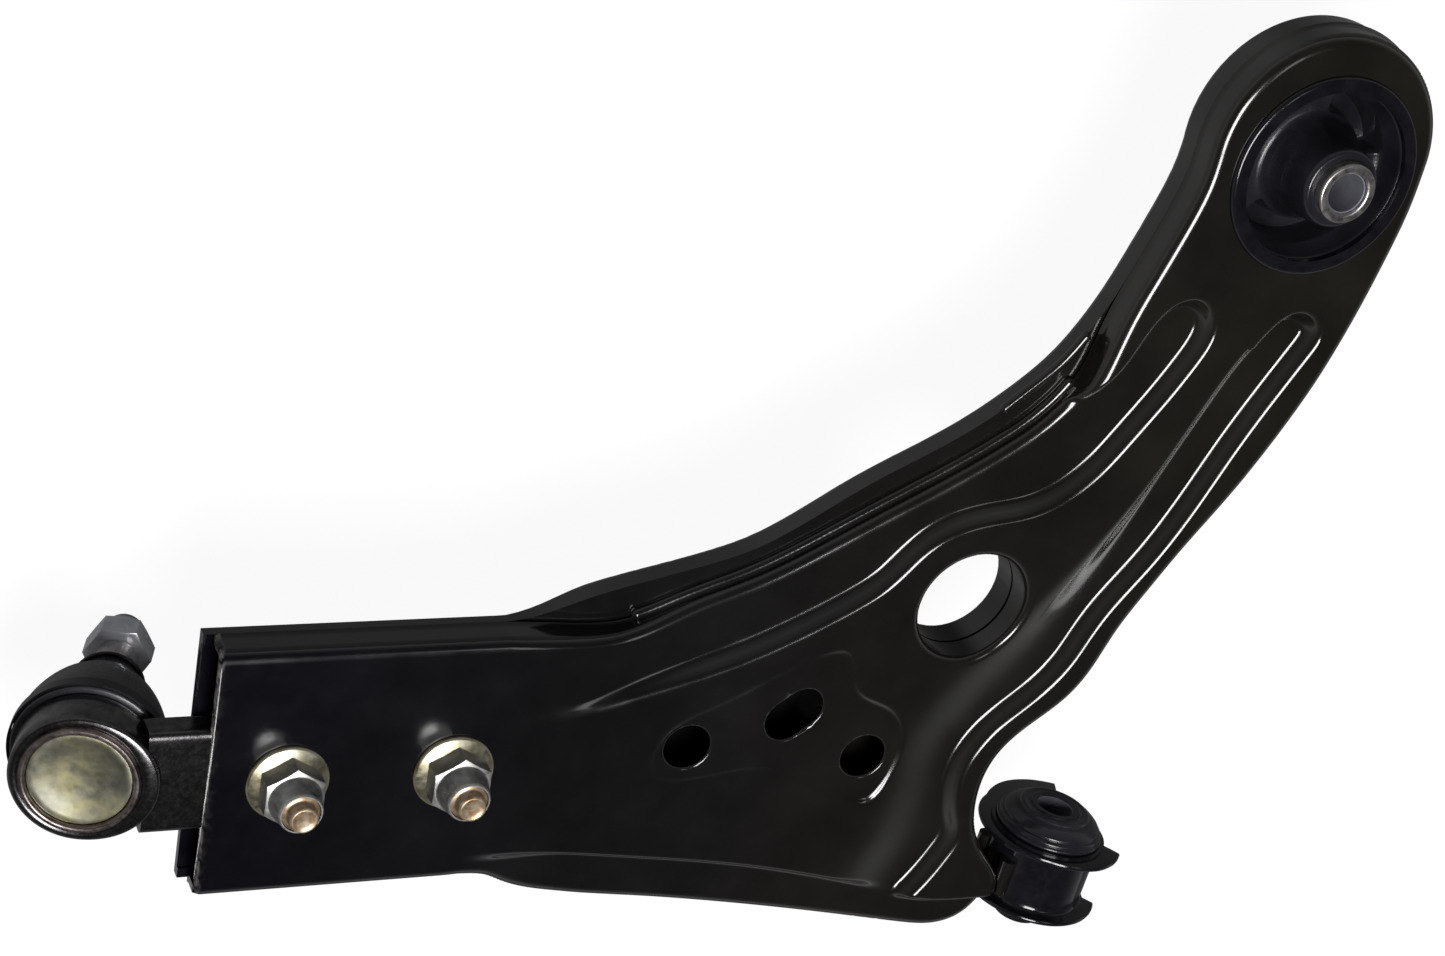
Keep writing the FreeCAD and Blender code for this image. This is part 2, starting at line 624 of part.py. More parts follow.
def rear_bush_rubber():
    """A ring and an upstanding cone joined by a web with two deep curved voids in it."""
    core = "dim.rear_sleeve_rad + dim.bond"
    body = turned("rear_rubber_block", [
        (core, "-dim.rear_sleeve_half + 4"), ("dim.rear_sleeve_rad + 3.2", "-dim.rear_sleeve_half + 5"),
        ("dim.rear_sleeve_rad + 6", "dim.ring_bottom + 5"), ("dim.ring_bore - 3.4", "dim.ring_bottom + 5"),
        ("dim.ring_bore - 3", "dim.ring_bottom + 0.6"), ("dim.ring_bore", "dim.ring_bottom + 0.6"),
        ("dim.ring_bore", "dim.ring_top - 2"), ("dim.ring_bore - 3.2", "dim.ring_top - 2"),
        ("dim.ring_bore - 4.2", "dim.ring_top - 9"), ("dim.rear_sleeve_rad + 7.5", "dim.ring_top - 11"),
        ("dim.rear_sleeve_rad + 4.2", "dim.rear_sleeve_half - 7"),
        ("dim.rear_sleeve_rad + 3.2", "dim.rear_sleeve_half - 4"), (core, "dim.rear_sleeve_half - 3.4")])
    voids = []
    for k, (middle, spread) in enumerate(((48, 34), (-95, 44))):
        plan = region(f"void_plan_{k}", kidney(18.4, 25.6, middle - spread, middle + spread))
        voids.append(slab(f"void_{k}", plan, "dim.ring_bottom + 7", "30"))
    piece(at_rear(cut("rear_rubber", body, fused("rear_voids", voids))), "rear_bush_rubber")


def kidney(inner, outer, start, end):
    """A curved slot about the origin with round ends, between two radii and two angles."""
    def spot(rad, angle):
        return Vector(rad * math.cos(math.radians(angle)), rad * math.sin(math.radians(angle)), 0)
    middle, half, turn = (inner + outer) / 2, (outer - inner) / 2, (start + end) / 2
    tip = math.degrees(half / middle)
    return [Part.Arc(spot(outer, start), spot(outer, turn), spot(outer, end)),
            Part.Arc(spot(outer, end), spot(middle, end + tip), spot(inner, end)),
            Part.Arc(spot(inner, end), spot(inner, turn), spot(inner, start)),
            Part.Arc(spot(inner, start), spot(middle, start - tip), spot(outer, start))]


# ---------------------------------------------------------------- ball joint

def hexagon(name, flats, thickness, start, turn=0):
    prism = bind(doc.addObject("Part::Prism", name), Circumradius=f"({flats}) / sqrt(3)", Height=thickness)
    prism.Polygon = 6
    return place(prism, z=start, turn=Rotation(Vector(0, 0, 1), turn))


def ball_joint_housing():
    """The forging: a cup for the ball, and a flat tail that slides in between the sheets."""
    rad, depth = "dim.housing_rad", "dim.housing_len"
    cup = turned("cup", [
        (f"{rad} - 5.5", "-1.2"), (f"{rad} - 3", "-1.2"), (f"{rad} - 2.8", "-0.2"), (f"{rad} - 0.8", "-0.2"),
        (rad, "0.6"), (rad, "14.4"), (f"{rad} - 1.2", "14.4"),
        (f"{rad} - 1.2", f"{depth} + 3"), ("11.6", f"{depth} + 3"), ("11.6", "dim.ball_depth + 4.6"),
        ("dim.ball_rad + 2.6", "dim.ball_depth + 4.6"), ("dim.ball_rad + 2.6", "2.3"),
        (f"{rad} - 2.7", "2.3"), (f"{rad} - 3.2", "0"), (f"{rad} - 5.5", "0")])
    at_cap(cup)
    bottom, top = "dim.back_outer + dim.plate", "dim.face - dim.plate"
    tail = bind(doc.addObject("Part::Box", "tail"), Length="dim.bolt_inner + 10 - dim.cap_x",
                Width="2 * dim.tail_half", Height=f"({top}) - ({bottom})")
    place(tail, "dim.cap_x + 10", "dim.bolt_y - dim.tail_half", bottom)
    doc.recompute()
    lying = [k for k, e in enumerate(tail.Shape.Edges, 1) if e.BoundBox.XLength > 1]
    standing = [k for k, e in enumerate(tail.Shape.Edges, 1)
                if e.BoundBox.ZLength > 1 and e.BoundBox.XMin > value("dim.bolt_inner")]
    eased = doc.addObject("Part::Fillet", "tail_eased")
    eased.Base = tail
    eased.Edges = [(k, 1.6, 1.6) for k in lying] + [(k, 8, 8) for k in standing]
    hollow = place(cylinder("tail_hollow", f"{rad} - 1.4", "60"), "dim.cap_x - 20 * sin(dim.lean * 1deg)",
                   "dim.bolt_y", "dim.cap_z + 20 * cos(dim.lean * 1deg)", ALONG_STUD)
    holes = [cylinder(f"tail_hole_{which}", "dim.bolt_hole", "40", f"dim.bolt_{which}", "dim.bolt_y", "-20")
             for which in ("outer", "inner")]
    arm = cut("tail_drilled", eased, fused("tail_minus", [hollow] + holes))
    piece(fused("housing", [cup, arm]), "ball_joint_housing")


def ball_joint_cap():
    rad = "dim.housing_rad"
    body = turned("end_cap", [
        (0, "0.9"), (f"{rad} - 8", "0.9"), (f"{rad} - 6", "0.02"), (f"{rad} - 3.25", "0.02"),
        (f"{rad} - 2.75", "2.25"), (0, "2.25")])
    piece(at_cap(body), "ball_joint_end_cap")


def ball_joint_liner():
    """The plastic bearing shell round the ball."""
    block = cylinder("liner_block", "dim.ball_rad + 2.55", "dim.ball_depth + 2.2", z="2.35")
    ball = bind(doc.addObject("Part::Sphere", "liner_ball"), Radius="dim.ball_rad + dim.bond")
    place(ball, z="dim.ball_depth")
    mouth = bind(doc.addObject("Part::Cone", "liner_mouth"), Radius1=9.4, Radius2=13, Height=5)
    place(mouth, z="dim.ball_depth + 1.6")
    piece(at_cap(cut("liner", block, fused("liner_hollow", [ball, mouth]))), "ball_joint_bearing_liner")


def ball_stud():
    """Ball, neck, taper that seats in the knuckle, and thread."""
    ball = place(bind(doc.addObject("Part::Sphere", "stud_ball"), Radius="dim.ball_rad"), z="dim.ball_depth")
    shank = turned("stud_shank", [
        (0, "dim.ball_depth"), (6.5, "dim.ball_depth"), (6.5, "31"), (8.1, "39"), (8.1, "57.6"),
        (6.9, "71.4"), (6, "71.9"), (6, "90"), (5, "91"), (0, "91")])
    piece(at_cap(fused("stud", [ball, shank])), "ball_stud")


def dust_boot():
    rim = "dim.housing_rad"
    body = turned("boot", [
        (f"{rim} - 1.15", "14.8"), (f"{rim} + 1.8", "14.8"), (f"{rim} + 2.1", "17"), (f"{rim} + 2", "21"),
        (f"{rim} + 1.1", "27"), (f"{rim} - 1.2", "34.6"), (f"{rim} - 5", "42.6"), (f"{rim} - 9", "49.4"),
        (10.6, "53"), (10, "54.6"), (10, "58"), (8.2, "58"), (8.2, "53.4"), (11, "49.8"),
        (f"{rim} - 7", "42"), (f"{rim} - 3", "34"), (f"{rim} - 0.9", "26.6"), (f"{rim} - 1.15", "20")])
    piece(at_cap(body), "dust_boot")


def boot_rings():
    lower = turned("boot_band", [
        ("dim.housing_rad + 2.15", "15.6"), ("dim.housing_rad + 2.9", "15.6"),
        ("dim.housing_rad + 2.9", "19.2"), ("dim.housing_rad + 2.15", "19.2")])
    piece(at_cap(lower), "boot_lower_band")
    upper = bind(doc.addObject("Part::Torus", "boot_clip"), Radius1=10.75, Radius2=0.72)
    doc.recompute()
    at_cap(upper)
    upper.setExpression("Placement.Base.x", "dim.cap_x + 56.3 * sin(dim.lean * 1deg)")
    upper.setExpression("Placement.Base.z", "dim.cap_z - 56.3 * cos(dim.lean * 1deg)")
    piece(upper, "boot_neck_clip")


def stud_nut():
    """A self-locking nut: hexagon and round collar."""
    hexa = hexagon("stud_nut_hex", "19", "10", "72")
    crown = bind(doc.addObject("Part::Cone", "stud_nut_crown"), Radius1=8.6, Radius2=7.6, Height=4.5)
    place(crown, z="82")
    bore = cylinder("stud_nut_bore", "6", "30", z="60")
    piece(at_cap(cut("knuckle_nut", fused("stud_nut_body", [hexa, crown]), bore)), "stud_nut")


# ---------------------------------------------------------------- clamp bolts

def clamp_fasteners():
    """The two bolts through the sheets and the tail, and their flange nuts."""
    bolts, nuts = [], []
    for which in ("outer", "inner"):
        x, y = f"dim.bolt_{which}", "dim.bolt_y"
        foot = bind(doc.addObject("Part::Cone", f"head_flange_{which}"), Radius1=10.5,
                    Radius2="dim.flange_rad", Height=2.4)
        place(foot, z="dim.back_outer - 2.4")
        shank = turned(f"shank_{which}", [
            (0, "dim.back_outer"), ("dim.bolt_rad", "dim.back_outer"), ("dim.bolt_rad", "28.6"),
            (5, "29.8"), (5, "33"), (4.4, "33.6"), (0, "33.6")])
        head = hexagon(f"head_{which}", "dim.hex_flats", "8.5", "dim.back_outer - 10.5", 30)
        bolts.append(place(fused(f"bolt_{which}_solid", [foot, shank, head]), x, y))
        washer = bind(doc.addObject("Part::Cone", f"nut_flange_{which}"), Radius1="dim.flange_rad",
                      Radius2=10, Height=2.6)
        place(washer, z="dim.face")
        hexa = hexagon(f"nut_hex_{which}", "dim.hex_flats", "9", "dim.face + 1.2", 30)
        collar = bind(doc.addObject("Part::Cone", f"nut_collar_{which}"), Radius1=8.4, Radius2=6.6,
                      Height=7.6)
        place(collar, z="dim.face + 10.2")
        bore = cylinder(f"nut_bore_{which}", "dim.bolt_rad", "40", z="dim.face - 5")
        nut = cut(f"nut_{which}_solid", fused(f"nut_{which}_body", [washer, hexa, collar]), bore)
        nuts.append(place(nut, x, y))
    for name, label, links in (("bolts", "clamp_bolts", bolts), ("nuts", "flange_nuts", nuts)):
        group = doc.addObject("Part::Compound", name)
        group.Links = links
        piece(group, label)


# ---------------------------------------------------------------- assembly

def assemble():
    front_shell()
    back_shell()
    forms = [doc.getObject("front_form_round"), doc.getObject("back_form")]
    weld_beads(forms)
    collar_welds(forms)
    front_bush_collar()
    front_bush_outer_sleeve()
    front_bush_rubber()
    at_front(sleeve("front_sleeve", "front_bush_inner_sleeve", "front"))
    rear_bush_ring()
    rear_bush_rubber()
    at_rear(sleeve("rear_sleeve", "rear_bush_inner_sleeve", "rear"))
    ball_joint_housing()
    ball_joint_cap()
    ball_joint_liner()
    ball_stud()
    dust_boot()
    boot_rings()
    stud_nut()
    clamp_fasteners()
    doc.recompute()


def check_and_export():
    for obj in doc.Objects:
        if "Invalid" in obj.State or "Error" in obj.State:
            raise RuntimeError(f"{obj.Name} did not build: {obj.State}")
    os.makedirs("parts", exist_ok=True)
    for obj in pieces:
        if obj.Shape.isNull() or not obj.Shape.isValid() or not obj.Shape.Solids:
            raise RuntimeError(f"{obj.Label} is not a sound solid")
        obj.Shape.exportStep(f"parts/{obj.Label}.step")
        print(obj.Label, len(obj.Shape.Solids), "solids", round(obj.Shape.Volume), "mm3")


assemble()
check_and_export()
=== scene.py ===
import math

import bmesh
import bpy
import numpy as np
from mathutils import Matrix, Vector, geometry


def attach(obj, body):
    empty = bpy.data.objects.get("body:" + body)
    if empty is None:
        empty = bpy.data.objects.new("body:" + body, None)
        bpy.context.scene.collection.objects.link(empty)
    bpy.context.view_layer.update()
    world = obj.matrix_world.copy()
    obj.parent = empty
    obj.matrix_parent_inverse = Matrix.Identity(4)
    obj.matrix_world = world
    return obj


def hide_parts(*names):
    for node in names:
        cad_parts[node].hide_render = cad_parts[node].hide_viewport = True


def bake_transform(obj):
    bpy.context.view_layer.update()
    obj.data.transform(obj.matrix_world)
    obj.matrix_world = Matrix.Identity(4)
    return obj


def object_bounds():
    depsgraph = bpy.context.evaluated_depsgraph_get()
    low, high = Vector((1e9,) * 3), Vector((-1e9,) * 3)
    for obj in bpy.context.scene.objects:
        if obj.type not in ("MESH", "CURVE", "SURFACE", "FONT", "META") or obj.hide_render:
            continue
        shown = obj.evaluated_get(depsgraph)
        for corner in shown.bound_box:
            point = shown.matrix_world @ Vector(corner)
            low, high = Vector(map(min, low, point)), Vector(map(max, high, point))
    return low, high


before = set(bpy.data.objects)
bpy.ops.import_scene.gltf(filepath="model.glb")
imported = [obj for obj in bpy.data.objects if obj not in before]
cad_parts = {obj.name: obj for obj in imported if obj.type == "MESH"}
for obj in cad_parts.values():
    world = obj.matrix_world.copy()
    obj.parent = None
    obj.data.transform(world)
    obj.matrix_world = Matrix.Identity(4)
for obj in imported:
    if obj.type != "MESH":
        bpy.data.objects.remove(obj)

MM = 0.001
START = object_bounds()

# ---------------------------------------------------------------- sizes of the arm, in millimetres

# Height of the flat face, depth of a step in it, height of the sheet's foot over the seam, and thickness.
FACE, STEP, SEAM, PLATE = 12.0, 6.0, 0.9, 2.6
# Radii of the bends at the sheet's edge, at the large hole and at the small holes.
EDGE_BEND, HOLE_LIP, SMALL_LIP = 4.0, 3.2, 0.9
# How far the foot of the wall stands out, and the height over which it bends out.
FLARE, FLARE_RISE = 0.8, 2.0
# The straight cut next to the ball joint, and the Y of the sheet's two edges there.
OUTER_END, TOP_Y, BOTTOM_Y = -304.6, 106.7, 19.5
# The round end of the sheet, and the rear bush and its hole.
EYE, EYE_RAD = (30.4, 270.5), 40.5
REAR, REAR_HOLE_RAD = (31.3, 264.8), 33.6
# The large hole, and the two clamp bolts.
BIG, BIG_RAD = np.array((-56.6, 111.1)), 19.2
BOLTS = ((-280.3, 60.8), (-227.7, 60.8))
# The axis of the swing, from the front bush to the rear one.
SWING = Vector((*REAR, 0)).normalized()
# The middle of the ball joint's outer face, and the way its stud points.
CAP = Vector((-341.6, 60.8, 4.5))
LEAN = math.radians(20)
STUD = Vector((math.sin(LEAN), 0, -math.cos(LEAN)))

# Plan outlines of the sheet and of the walls in it, as points that a smooth curve runs through.
TOP_EDGE = [(-215, 106.7), (-196, 105.4), (-178, 105), (-165, 108.5), (-152.5, 113.8), (-132.5, 121.5),
            (-112.5, 132), (-92, 144), (-72, 155.5), (-52, 168.5), (-41.5, 177.5), (-33.5, 188),
            (-29.6, 199), (-26, 214), (-20.5, 230), (-14.5, 247), (-11, 260), (-10.1, 270.5)]
INBOARD_EDGE = [(70.9, 270.5), (69.6, 254), (66.5, 238), (62, 220), (56.5, 202), (49.5, 184), (33.5, 153),
                (19.5, 131), (9.5, 114), (1.5, 99), (-4.5, 84), (-12.5, 72), (-24.5, 61.5), (-32.5, 52),
                (-35.8, 42), (-36, 32), (-33.5, 21), (-27.5, 11), (-21.5, 3), (-19.4, -4), (-21.5, -11),
                (-26, -17), (-32, -20.6), (-40, -21.8), (-52, -20), (-92, -11), (-152.5, 0.5), (-187, 6.5),
                (-203, 13), (-211, 17.6), (-220, 19.5)]
BORDER_WALL = [(-230, 80), (-189, 80.5), (-172, 85), (-154, 90.5), (-134, 97.5), (-114, 107), (-96, 117.5),
               (-89.5, 123), (-84.5, 129), (-78.5, 135.5), (-70, 141), (-58, 144.5), (-46, 146.5),
               (-35, 151), (-23.5, 161), (-15, 173), (-6, 187), (0.5, 198.5), (4.4, 208), (3.5, 215),
               (-2, 219.5), (-9, 218), (-14.5, 211.5), (-19, 202), (-24, 193.5), (-32, 187), (-44, 181.5),
               (-58, 175)]
GROOVE_RIGHT = [(-70, -20), (-52, 2), (-46, 12), (-43, 20), (-45, 28), (-47.3, 40), (-45.8, 51), (-39.8, 62),
                (-32, 70), (-24, 77.5), (-16.5, 87.5), (-11.5, 98.5), (-5.5, 110), (5.5, 126.5),
                (16.5, 147.5), (26, 169), (36, 189), (43.5, 203), (45.5, 209), (42.5, 213.5), (36, 215),
                (28.5, 210), (24.5, 204)]
GROOVE_LEFT = [(-84, -30), (-76, -6), (-70, 10), (-66, 20), (-63, 38), (-62, 54), (-56, 69), (-47, 81),
               (-37, 93), (-27, 107), (-17, 122), (-9, 136), (0, 154), (10, 176), (20, 197), (28, 210),
               (36, 224)]
BOTTOM_WALL = [(-240, 30), (-215, 27), (-195.5, 25.5), (-175.5, 23), (-155.5, 20), (-125.5, 15), (-95.5, 8),
               (-75.5, 2), (-60.5, -3.5), (-47.5, -7), (-32, -8), (-10, -8)]
PAD = [(-160.5, 56), (-153.5, 52), (-135.5, 53.5), (-120.5, 54), (-100.5, 45), (-81.5, 38), (-76.5, 41),
       (-71.5, 55), (-72.5, 65), (-79.5, 74), (-92.5, 82), (-98.5, 96), (-118, 92), (-140, 80), (-157, 70)]


# ---------------------------------------------------------------- curves and distances

def spline(points, spacing=1.2, closed=False):
    """Points at even spacing on a natural cubic spline through the given ones."""
    p = np.array(points, float)
    if closed:
        p = np.vstack([p[-3:], p, p[:3]])
    t = np.concatenate([[0], np.cumsum(np.sqrt(np.linalg.norm(np.diff(p, axis=0), axis=1)))])
    n, h = len(p), np.diff(t)
    a = np.zeros((n, n))
    b = np.zeros((n, 2))
    a[0, 0] = a[-1, -1] = 1
    for k in range(1, n - 1):
        a[k, k - 1:k + 2] = h[k - 1], 2 * (h[k - 1] + h[k]), h[k]
        b[k] = 6 * ((p[k + 1] - p[k]) / h[k] - (p[k] - p[k - 1]) / h[k - 1])
    m = np.linalg.solve(a, b)
    low, high = (t[3], t[-3]) if closed else (t[0], t[-1])
    q = np.linspace(low, high, 4000)
    k = np.clip(np.searchsorted(t, q, side="right") - 1, 0, n - 2)
    u, v, w = (t[k + 1] - q)[:, None], (q - t[k])[:, None], h[k][:, None]
    fine = (m[k] * u ** 3 + m[k + 1] * v ** 3) / (6 * w) \
        + (p[k] / w - m[k] * w / 6) * u + (p[k + 1] / w - m[k + 1] * w / 6) * v
    return resample(fine, spacing)


def resample(p, spacing):
    """Points at about the given spacing along a polyline."""
    s = np.concatenate([[0], np.cumsum(np.linalg.norm(np.diff(p, axis=0), axis=1))])
    at = np.linspace(0, s[-1], max(3, int(round(s[-1] / spacing)) + 1))
    return np.stack([np.interp(at, s, p[:, 0]), np.interp(at, s, p[:, 1])], 1)


def nearest(q, p):
    """Distance from each point of q to polyline p, and the unit direction to it."""
    best = np.full(len(q), 1e9)
    way = np.zeros((len(q), 2))
    for a, b in zip(p[:-1], p[1:]):
        d = b - a
        t = np.clip(((q - a) @ d) / (d @ d), 0, 1)
        gap = a + t[:, None] * d - q
        dist = np.hypot(gap[:, 0], gap[:, 1])
        near = dist < best - 1e-9
        best[near] = dist[near]
        way[near] = gap[near] / np.maximum(dist[near], 1e-9)[:, None]
    return best, way


def loop(p):
    """A closed outline as a polyline that ends where it starts."""
    return np.vstack([p, p[:1]])


def unit(v):
    """Rows of v scaled to length 1."""
    return v / np.linalg.norm(v, axis=1)[:, None]


def leftward(p):
    """Unit directions to the left of a polyline at each of its points."""
    way = unit(np.gradient(p, axis=0))
    return np.stack([-way[:, 1], way[:, 0]], 1)


def inside(q, poly):
    """Which points of q lie inside a closed outline."""
    hit = np.zeros(len(q), bool)
    for a, b in zip(poly, np.roll(poly, -1, axis=0)):
        if a[1] == b[1]:
            continue
        cross = (a[1] > q[:, 1]) != (b[1] > q[:, 1])
        x = a[0] + (q[:, 1] - a[1]) * (b[0] - a[0]) / (b[1] - a[1])
        hit ^= cross & (q[:, 0] < x)
    return hit


def smooth(t):
    """0 to 1 with no bend at either end, for walls."""
    t = np.clip(t, 0, 1)
    return t * t * t * (t * (6 * t - 15) + 10)


def ramp(x, start, end):
    """0 to 1 between two values of x, for fading."""
    t = np.clip((x - start) / (end - start), 0, 1)
    return t * t * (3 - 2 * t)


# ---------------------------------------------------------------- height of the front sheet

BORDER = spline(BORDER_WALL)
RIGHT = spline(GROOVE_RIGHT)
LEFT = spline(GROOVE_LEFT)
BOTTOM = spline(BOTTOM_WALL)
PAD_EDGE = spline(PAD, closed=True)
# Each wall's inner side as an area, closed well away from the sheet.
BORDER_AREA = np.vstack([BORDER, [(-60, 260), (-260, 200), (-260, 80)]])
RIGHT_AREA = np.vstack([RIGHT, [(-300, 204), (-300, -20)]])
LEFT_AREA = np.vstack([LEFT, [(300, 224), (300, -100), (-84, -100)]])
BOTTOM_AREA = np.vstack([BOTTOM, [(-10, -60), (-260, -60), (-260, 30)]])


def wall(q, line, area, width):
    """0 outside an area, 1 inside it, with a smooth wall of the given width along its edge."""
    dist = nearest(q, line)[0]
    signed = np.where(inside(q, area), dist, -dist)
    return smooth(0.5 + signed / width)


def relief(q):
    """Height of the front sheet at points q, before its edges are bent down."""
    x, y = q.T
    # The border's and the bottom's walls fade out towards the outer end, where the sheet is flat.
    border = wall(q, BORDER, BORDER_AREA, 7.0) * ramp(x, -214, -140)
    bottom = wall(q, BOTTOM, BOTTOM_AREA, 6.0) * ramp(x, -226, -180)
    # The groove's left wall is steep near the rear bush and a gentle slope near the front one.
    left_width = 9 + 30 * ramp(-y, -165, -70)
    groove = wall(q, RIGHT, RIGHT_AREA, 7.0) * wall(q, LEFT, LEFT_AREA, left_width)
    # The pad is sunk at its inboard end and stands out a little at its outer end.
    pad = wall(q, PAD_EDGE, PAD_EDGE, 3.0)
    pad_depth = 1.2 * ramp(x, -120, -88) - 0.35 * ramp(-x, 100, 130)
    return FACE - STEP * (1 - (1 - border) * (1 - bottom) * (1 - groove)) - pad * pad_depth


def slope(q):
    """Unit normals of the relief at points q."""
    reach = 0.45
    gx = (relief(q + (reach, 0)) - relief(q - (reach, 0))) / (2 * reach)
    gy = (relief(q + (0, reach)) - relief(q - (0, reach))) / (2 * reach)
    return unit(np.stack([-gx, -gy, np.ones(len(q))], 1))


def circle(x, y, rad, count):
    """Points round a circle."""
    a = np.linspace(0, 2 * math.pi, count, endpoint=False)
    return np.stack([x + rad * np.cos(a), y + rad * np.sin(a)], 1)


def rounded_slot(x, y, half, rad, angle, count=44):
    """An oval hole: two half circles whose middles lie `half` to either side of its own."""
    a = np.linspace(0, 2 * math.pi, count, endpoint=False)
    u = rad * np.cos(a) + np.where(np.cos(a) >= 0, half, -half)
    v = rad * np.sin(a)
    c, s = math.cos(math.radians(angle)), math.sin(math.radians(angle))
    return np.stack([x + u * c - v * s, y + u * s + v * c], 1)


def front_outline():
    """The sheet's edge in plan, from the outer end's upper corner round to its lower one."""
    top = spline(TOP_EDGE)
    inboard = spline(INBOARD_EDGE)
    a = np.linspace(math.pi, 0, 100)[1:-1]
    eye = np.stack([EYE[0] + EYE_RAD * np.cos(a), EYE[1] + EYE_RAD * np.sin(a)], 1)
    upper = resample(np.array([(OUTER_END, TOP_Y), (-215, TOP_Y)]), 2.0)
    lower = resample(np.array([(-220, BOTTOM_Y), (OUTER_END, BOTTOM_Y)]), 2.0)
    return np.vstack([upper[:-1], top, eye, inboard, lower[1:]])


SMALL_HOLES = [lambda grow: circle(-149.6, 64.3, 7.9 + grow, 44),
               lambda grow: rounded_slot(-113.6, 74, 3.2, 7.4 + grow, 38),
               lambda grow: circle(-84.5, 55.3, 7.9 + grow, 44)]
HOLES = [circle(*BIG, BIG_RAD, 90), circle(*REAR, REAR_HOLE_RAD, 130)] + [hole(0) for hole in SMALL_HOLES]
NARROW_LEFT = LEFT[LEFT[:, 1] > 60]

# Distances from a wall's middle, or from the sheet's edge, at which rows of points follow it.
WALL_ROWS = (-4.4, -3.6, -3.0, -2.3, -1.2, 0, 1.2, 2.3, 3.0, 3.6, 4.4)
LEFT_ROWS = np.arange(-6, 6.1, 1.2)
BOTTOM_ROWS = (-3.9, -3.1, -2.5, -1.8, -0.9, 0, 0.9, 1.8, 2.5, 3.1, 3.9)
PAD_ROWS = (-2.2, -1.5, -0.9, 0, 0.9, 1.5, 2.2)
EDGE_ROWS = (-0.3, -0.8, -1.5, -2.4, -3.2, -4.0, -4.8)


def loose_points(edge):
    """Points inside the sheet: rows along every bend, rings round the holes, and a plain grid elsewhere."""
    # Each line with its rows, the gap between points along them, and the width it keeps clear of the grid.
    bends = ((BORDER, WALL_ROWS, 1.05, 5.4), (RIGHT, WALL_ROWS, 1.05, 5.4), (NARROW_LEFT, LEFT_ROWS, 1.2, 7),
             (BOTTOM, BOTTOM_ROWS, 1.5, 5.4), (PAD_EDGE, PAD_ROWS, 1.2, 5.4), (edge, EDGE_ROWS, 1.6, 5.6))
    rows = []
    for line, offsets, gap, _ in bends:
        p = resample(line, gap)
        for offset in offsets:
            # Inside a sharp turn a row would cross itself, so its points too close to the line are left out.
            q = p + leftward(p) * offset
            rows.append(q[nearest(q, line)[0] > abs(offset) - 0.15])
    rows += [circle(*BIG, BIG_RAD + grow, 90) for grow in (0.25, 0.7, 1.3, 2.0, 2.7, 3.3, 4.0)]
    rows += [hole(grow) for grow in (0.25, 0.5, 0.8, 1.3) for hole in SMALL_HOLES]
    across, upward = 2.6, 2.25
    gx, gy = np.meshgrid(np.arange(-304, 74, across), np.arange(-22, 314, upward))
    gx = gx + (np.arange(gx.shape[0]) % 2 * across / 2)[:, None]
    grid = np.stack([gx.ravel(), gy.ravel()], 1)
    for line, _, _, clear in bends:
        grid = grid[nearest(grid, line)[0] > clear]
    points = np.vstack(rows + [grid])
    closest, clear_of_edges = 0.45, 0.2
    cell = np.round(points / closest).astype(int)
    points = points[np.unique(cell, axis=0, return_index=True)[1]]
    keep = inside(points, edge) & (nearest(points, loop(edge))[0] > clear_of_edges)
    for hole in HOLES:
        keep &= ~inside(points, hole) & (nearest(points, loop(hole))[0] > clear_of_edges)
    return points[keep]


def triangulated(edge):
    """Plan points and triangles of the sheet, with its edge and the holes' edges first."""
    constraints, count = [], 0
    for outline in [edge] + HOLES:
        n = len(outline)
        constraints += [(count + k, count + (k + 1) % n) for k in range(n)]
        count += n
    flat = np.vstack([edge] + HOLES + [loose_points(edge)])
    verts, _, faces, *_ = geometry.delaunay_2d_cdt([Vector(p) for p in flat], constraints, [], 0, 1e-5)
    xy = np.array([v[:] for v in verts])
    tris = np.array([f[:3] for f in faces if len(f) == 3])
    middle = xy[tris].mean(axis=1)
    good = inside(middle, edge)
    for hole in HOLES:
        good &= ~inside(middle, hole)
    tris = tris[good]
    a, b, c = (xy[tris[:, k]] for k in range(3))
    turn = (b[:, 0] - a[:, 0]) * (c[:, 1] - a[:, 1]) - (b[:, 1] - a[:, 1]) * (c[:, 0] - a[:, 0])
    tris[turn < 0] = tris[turn < 0][:, ::-1]
    return xy, tris


def roll(height, normal, dist, out, rad, most=1.0):
    """Bend a surface down in a quarter circle towards a line that lies dist away, in the direction out."""
    share = np.clip((rad - dist) / rad, 0, most)
    drop = np.sqrt(1 - share ** 2)
    height -= rad * (1 - drop)
    normal *= drop[:, None]
    normal[:, :2] += out * share[:, None]


def bent_surface(xy, edge):
    """The upper face's points and normals, and which lie on the sheet's edge and on the large hole's."""
    # The cut at the outer end isn't bent, so the line that the bend follows runs on past it.
    past_end, on_line = -330, 0.02
    rolled = np.vstack([[(past_end, TOP_Y)], edge[1:-1], [(past_end, BOTTOM_Y)]])
    dist, out = nearest(xy, rolled)
    on_edge = dist < on_line
    index = np.array([np.argmin(np.hypot(*(rolled - p).T)) for p in xy[on_edge]], int)
    out[on_edge] = leftward(rolled)[index]
    height, normal = relief(xy), slope(xy)
    roll(height, normal, dist, out, EDGE_BEND)
    away = np.hypot(xy[:, 0] - BIG[0], xy[:, 1] - BIG[1])
    roll(height, normal, away - BIG_RAD, (BIG - xy) / away[:, None], HOLE_LIP)
    for hole in HOLES[2:]:
        dist, out = nearest(xy, loop(hole))
        out = np.where((dist < on_line)[:, None], unit(hole.mean(axis=0) - xy), out)
        roll(height, normal, dist, out, SMALL_LIP, 0.92)
    return np.column_stack([xy, height]), unit(normal), on_edge, away < BIG_RAD + on_line


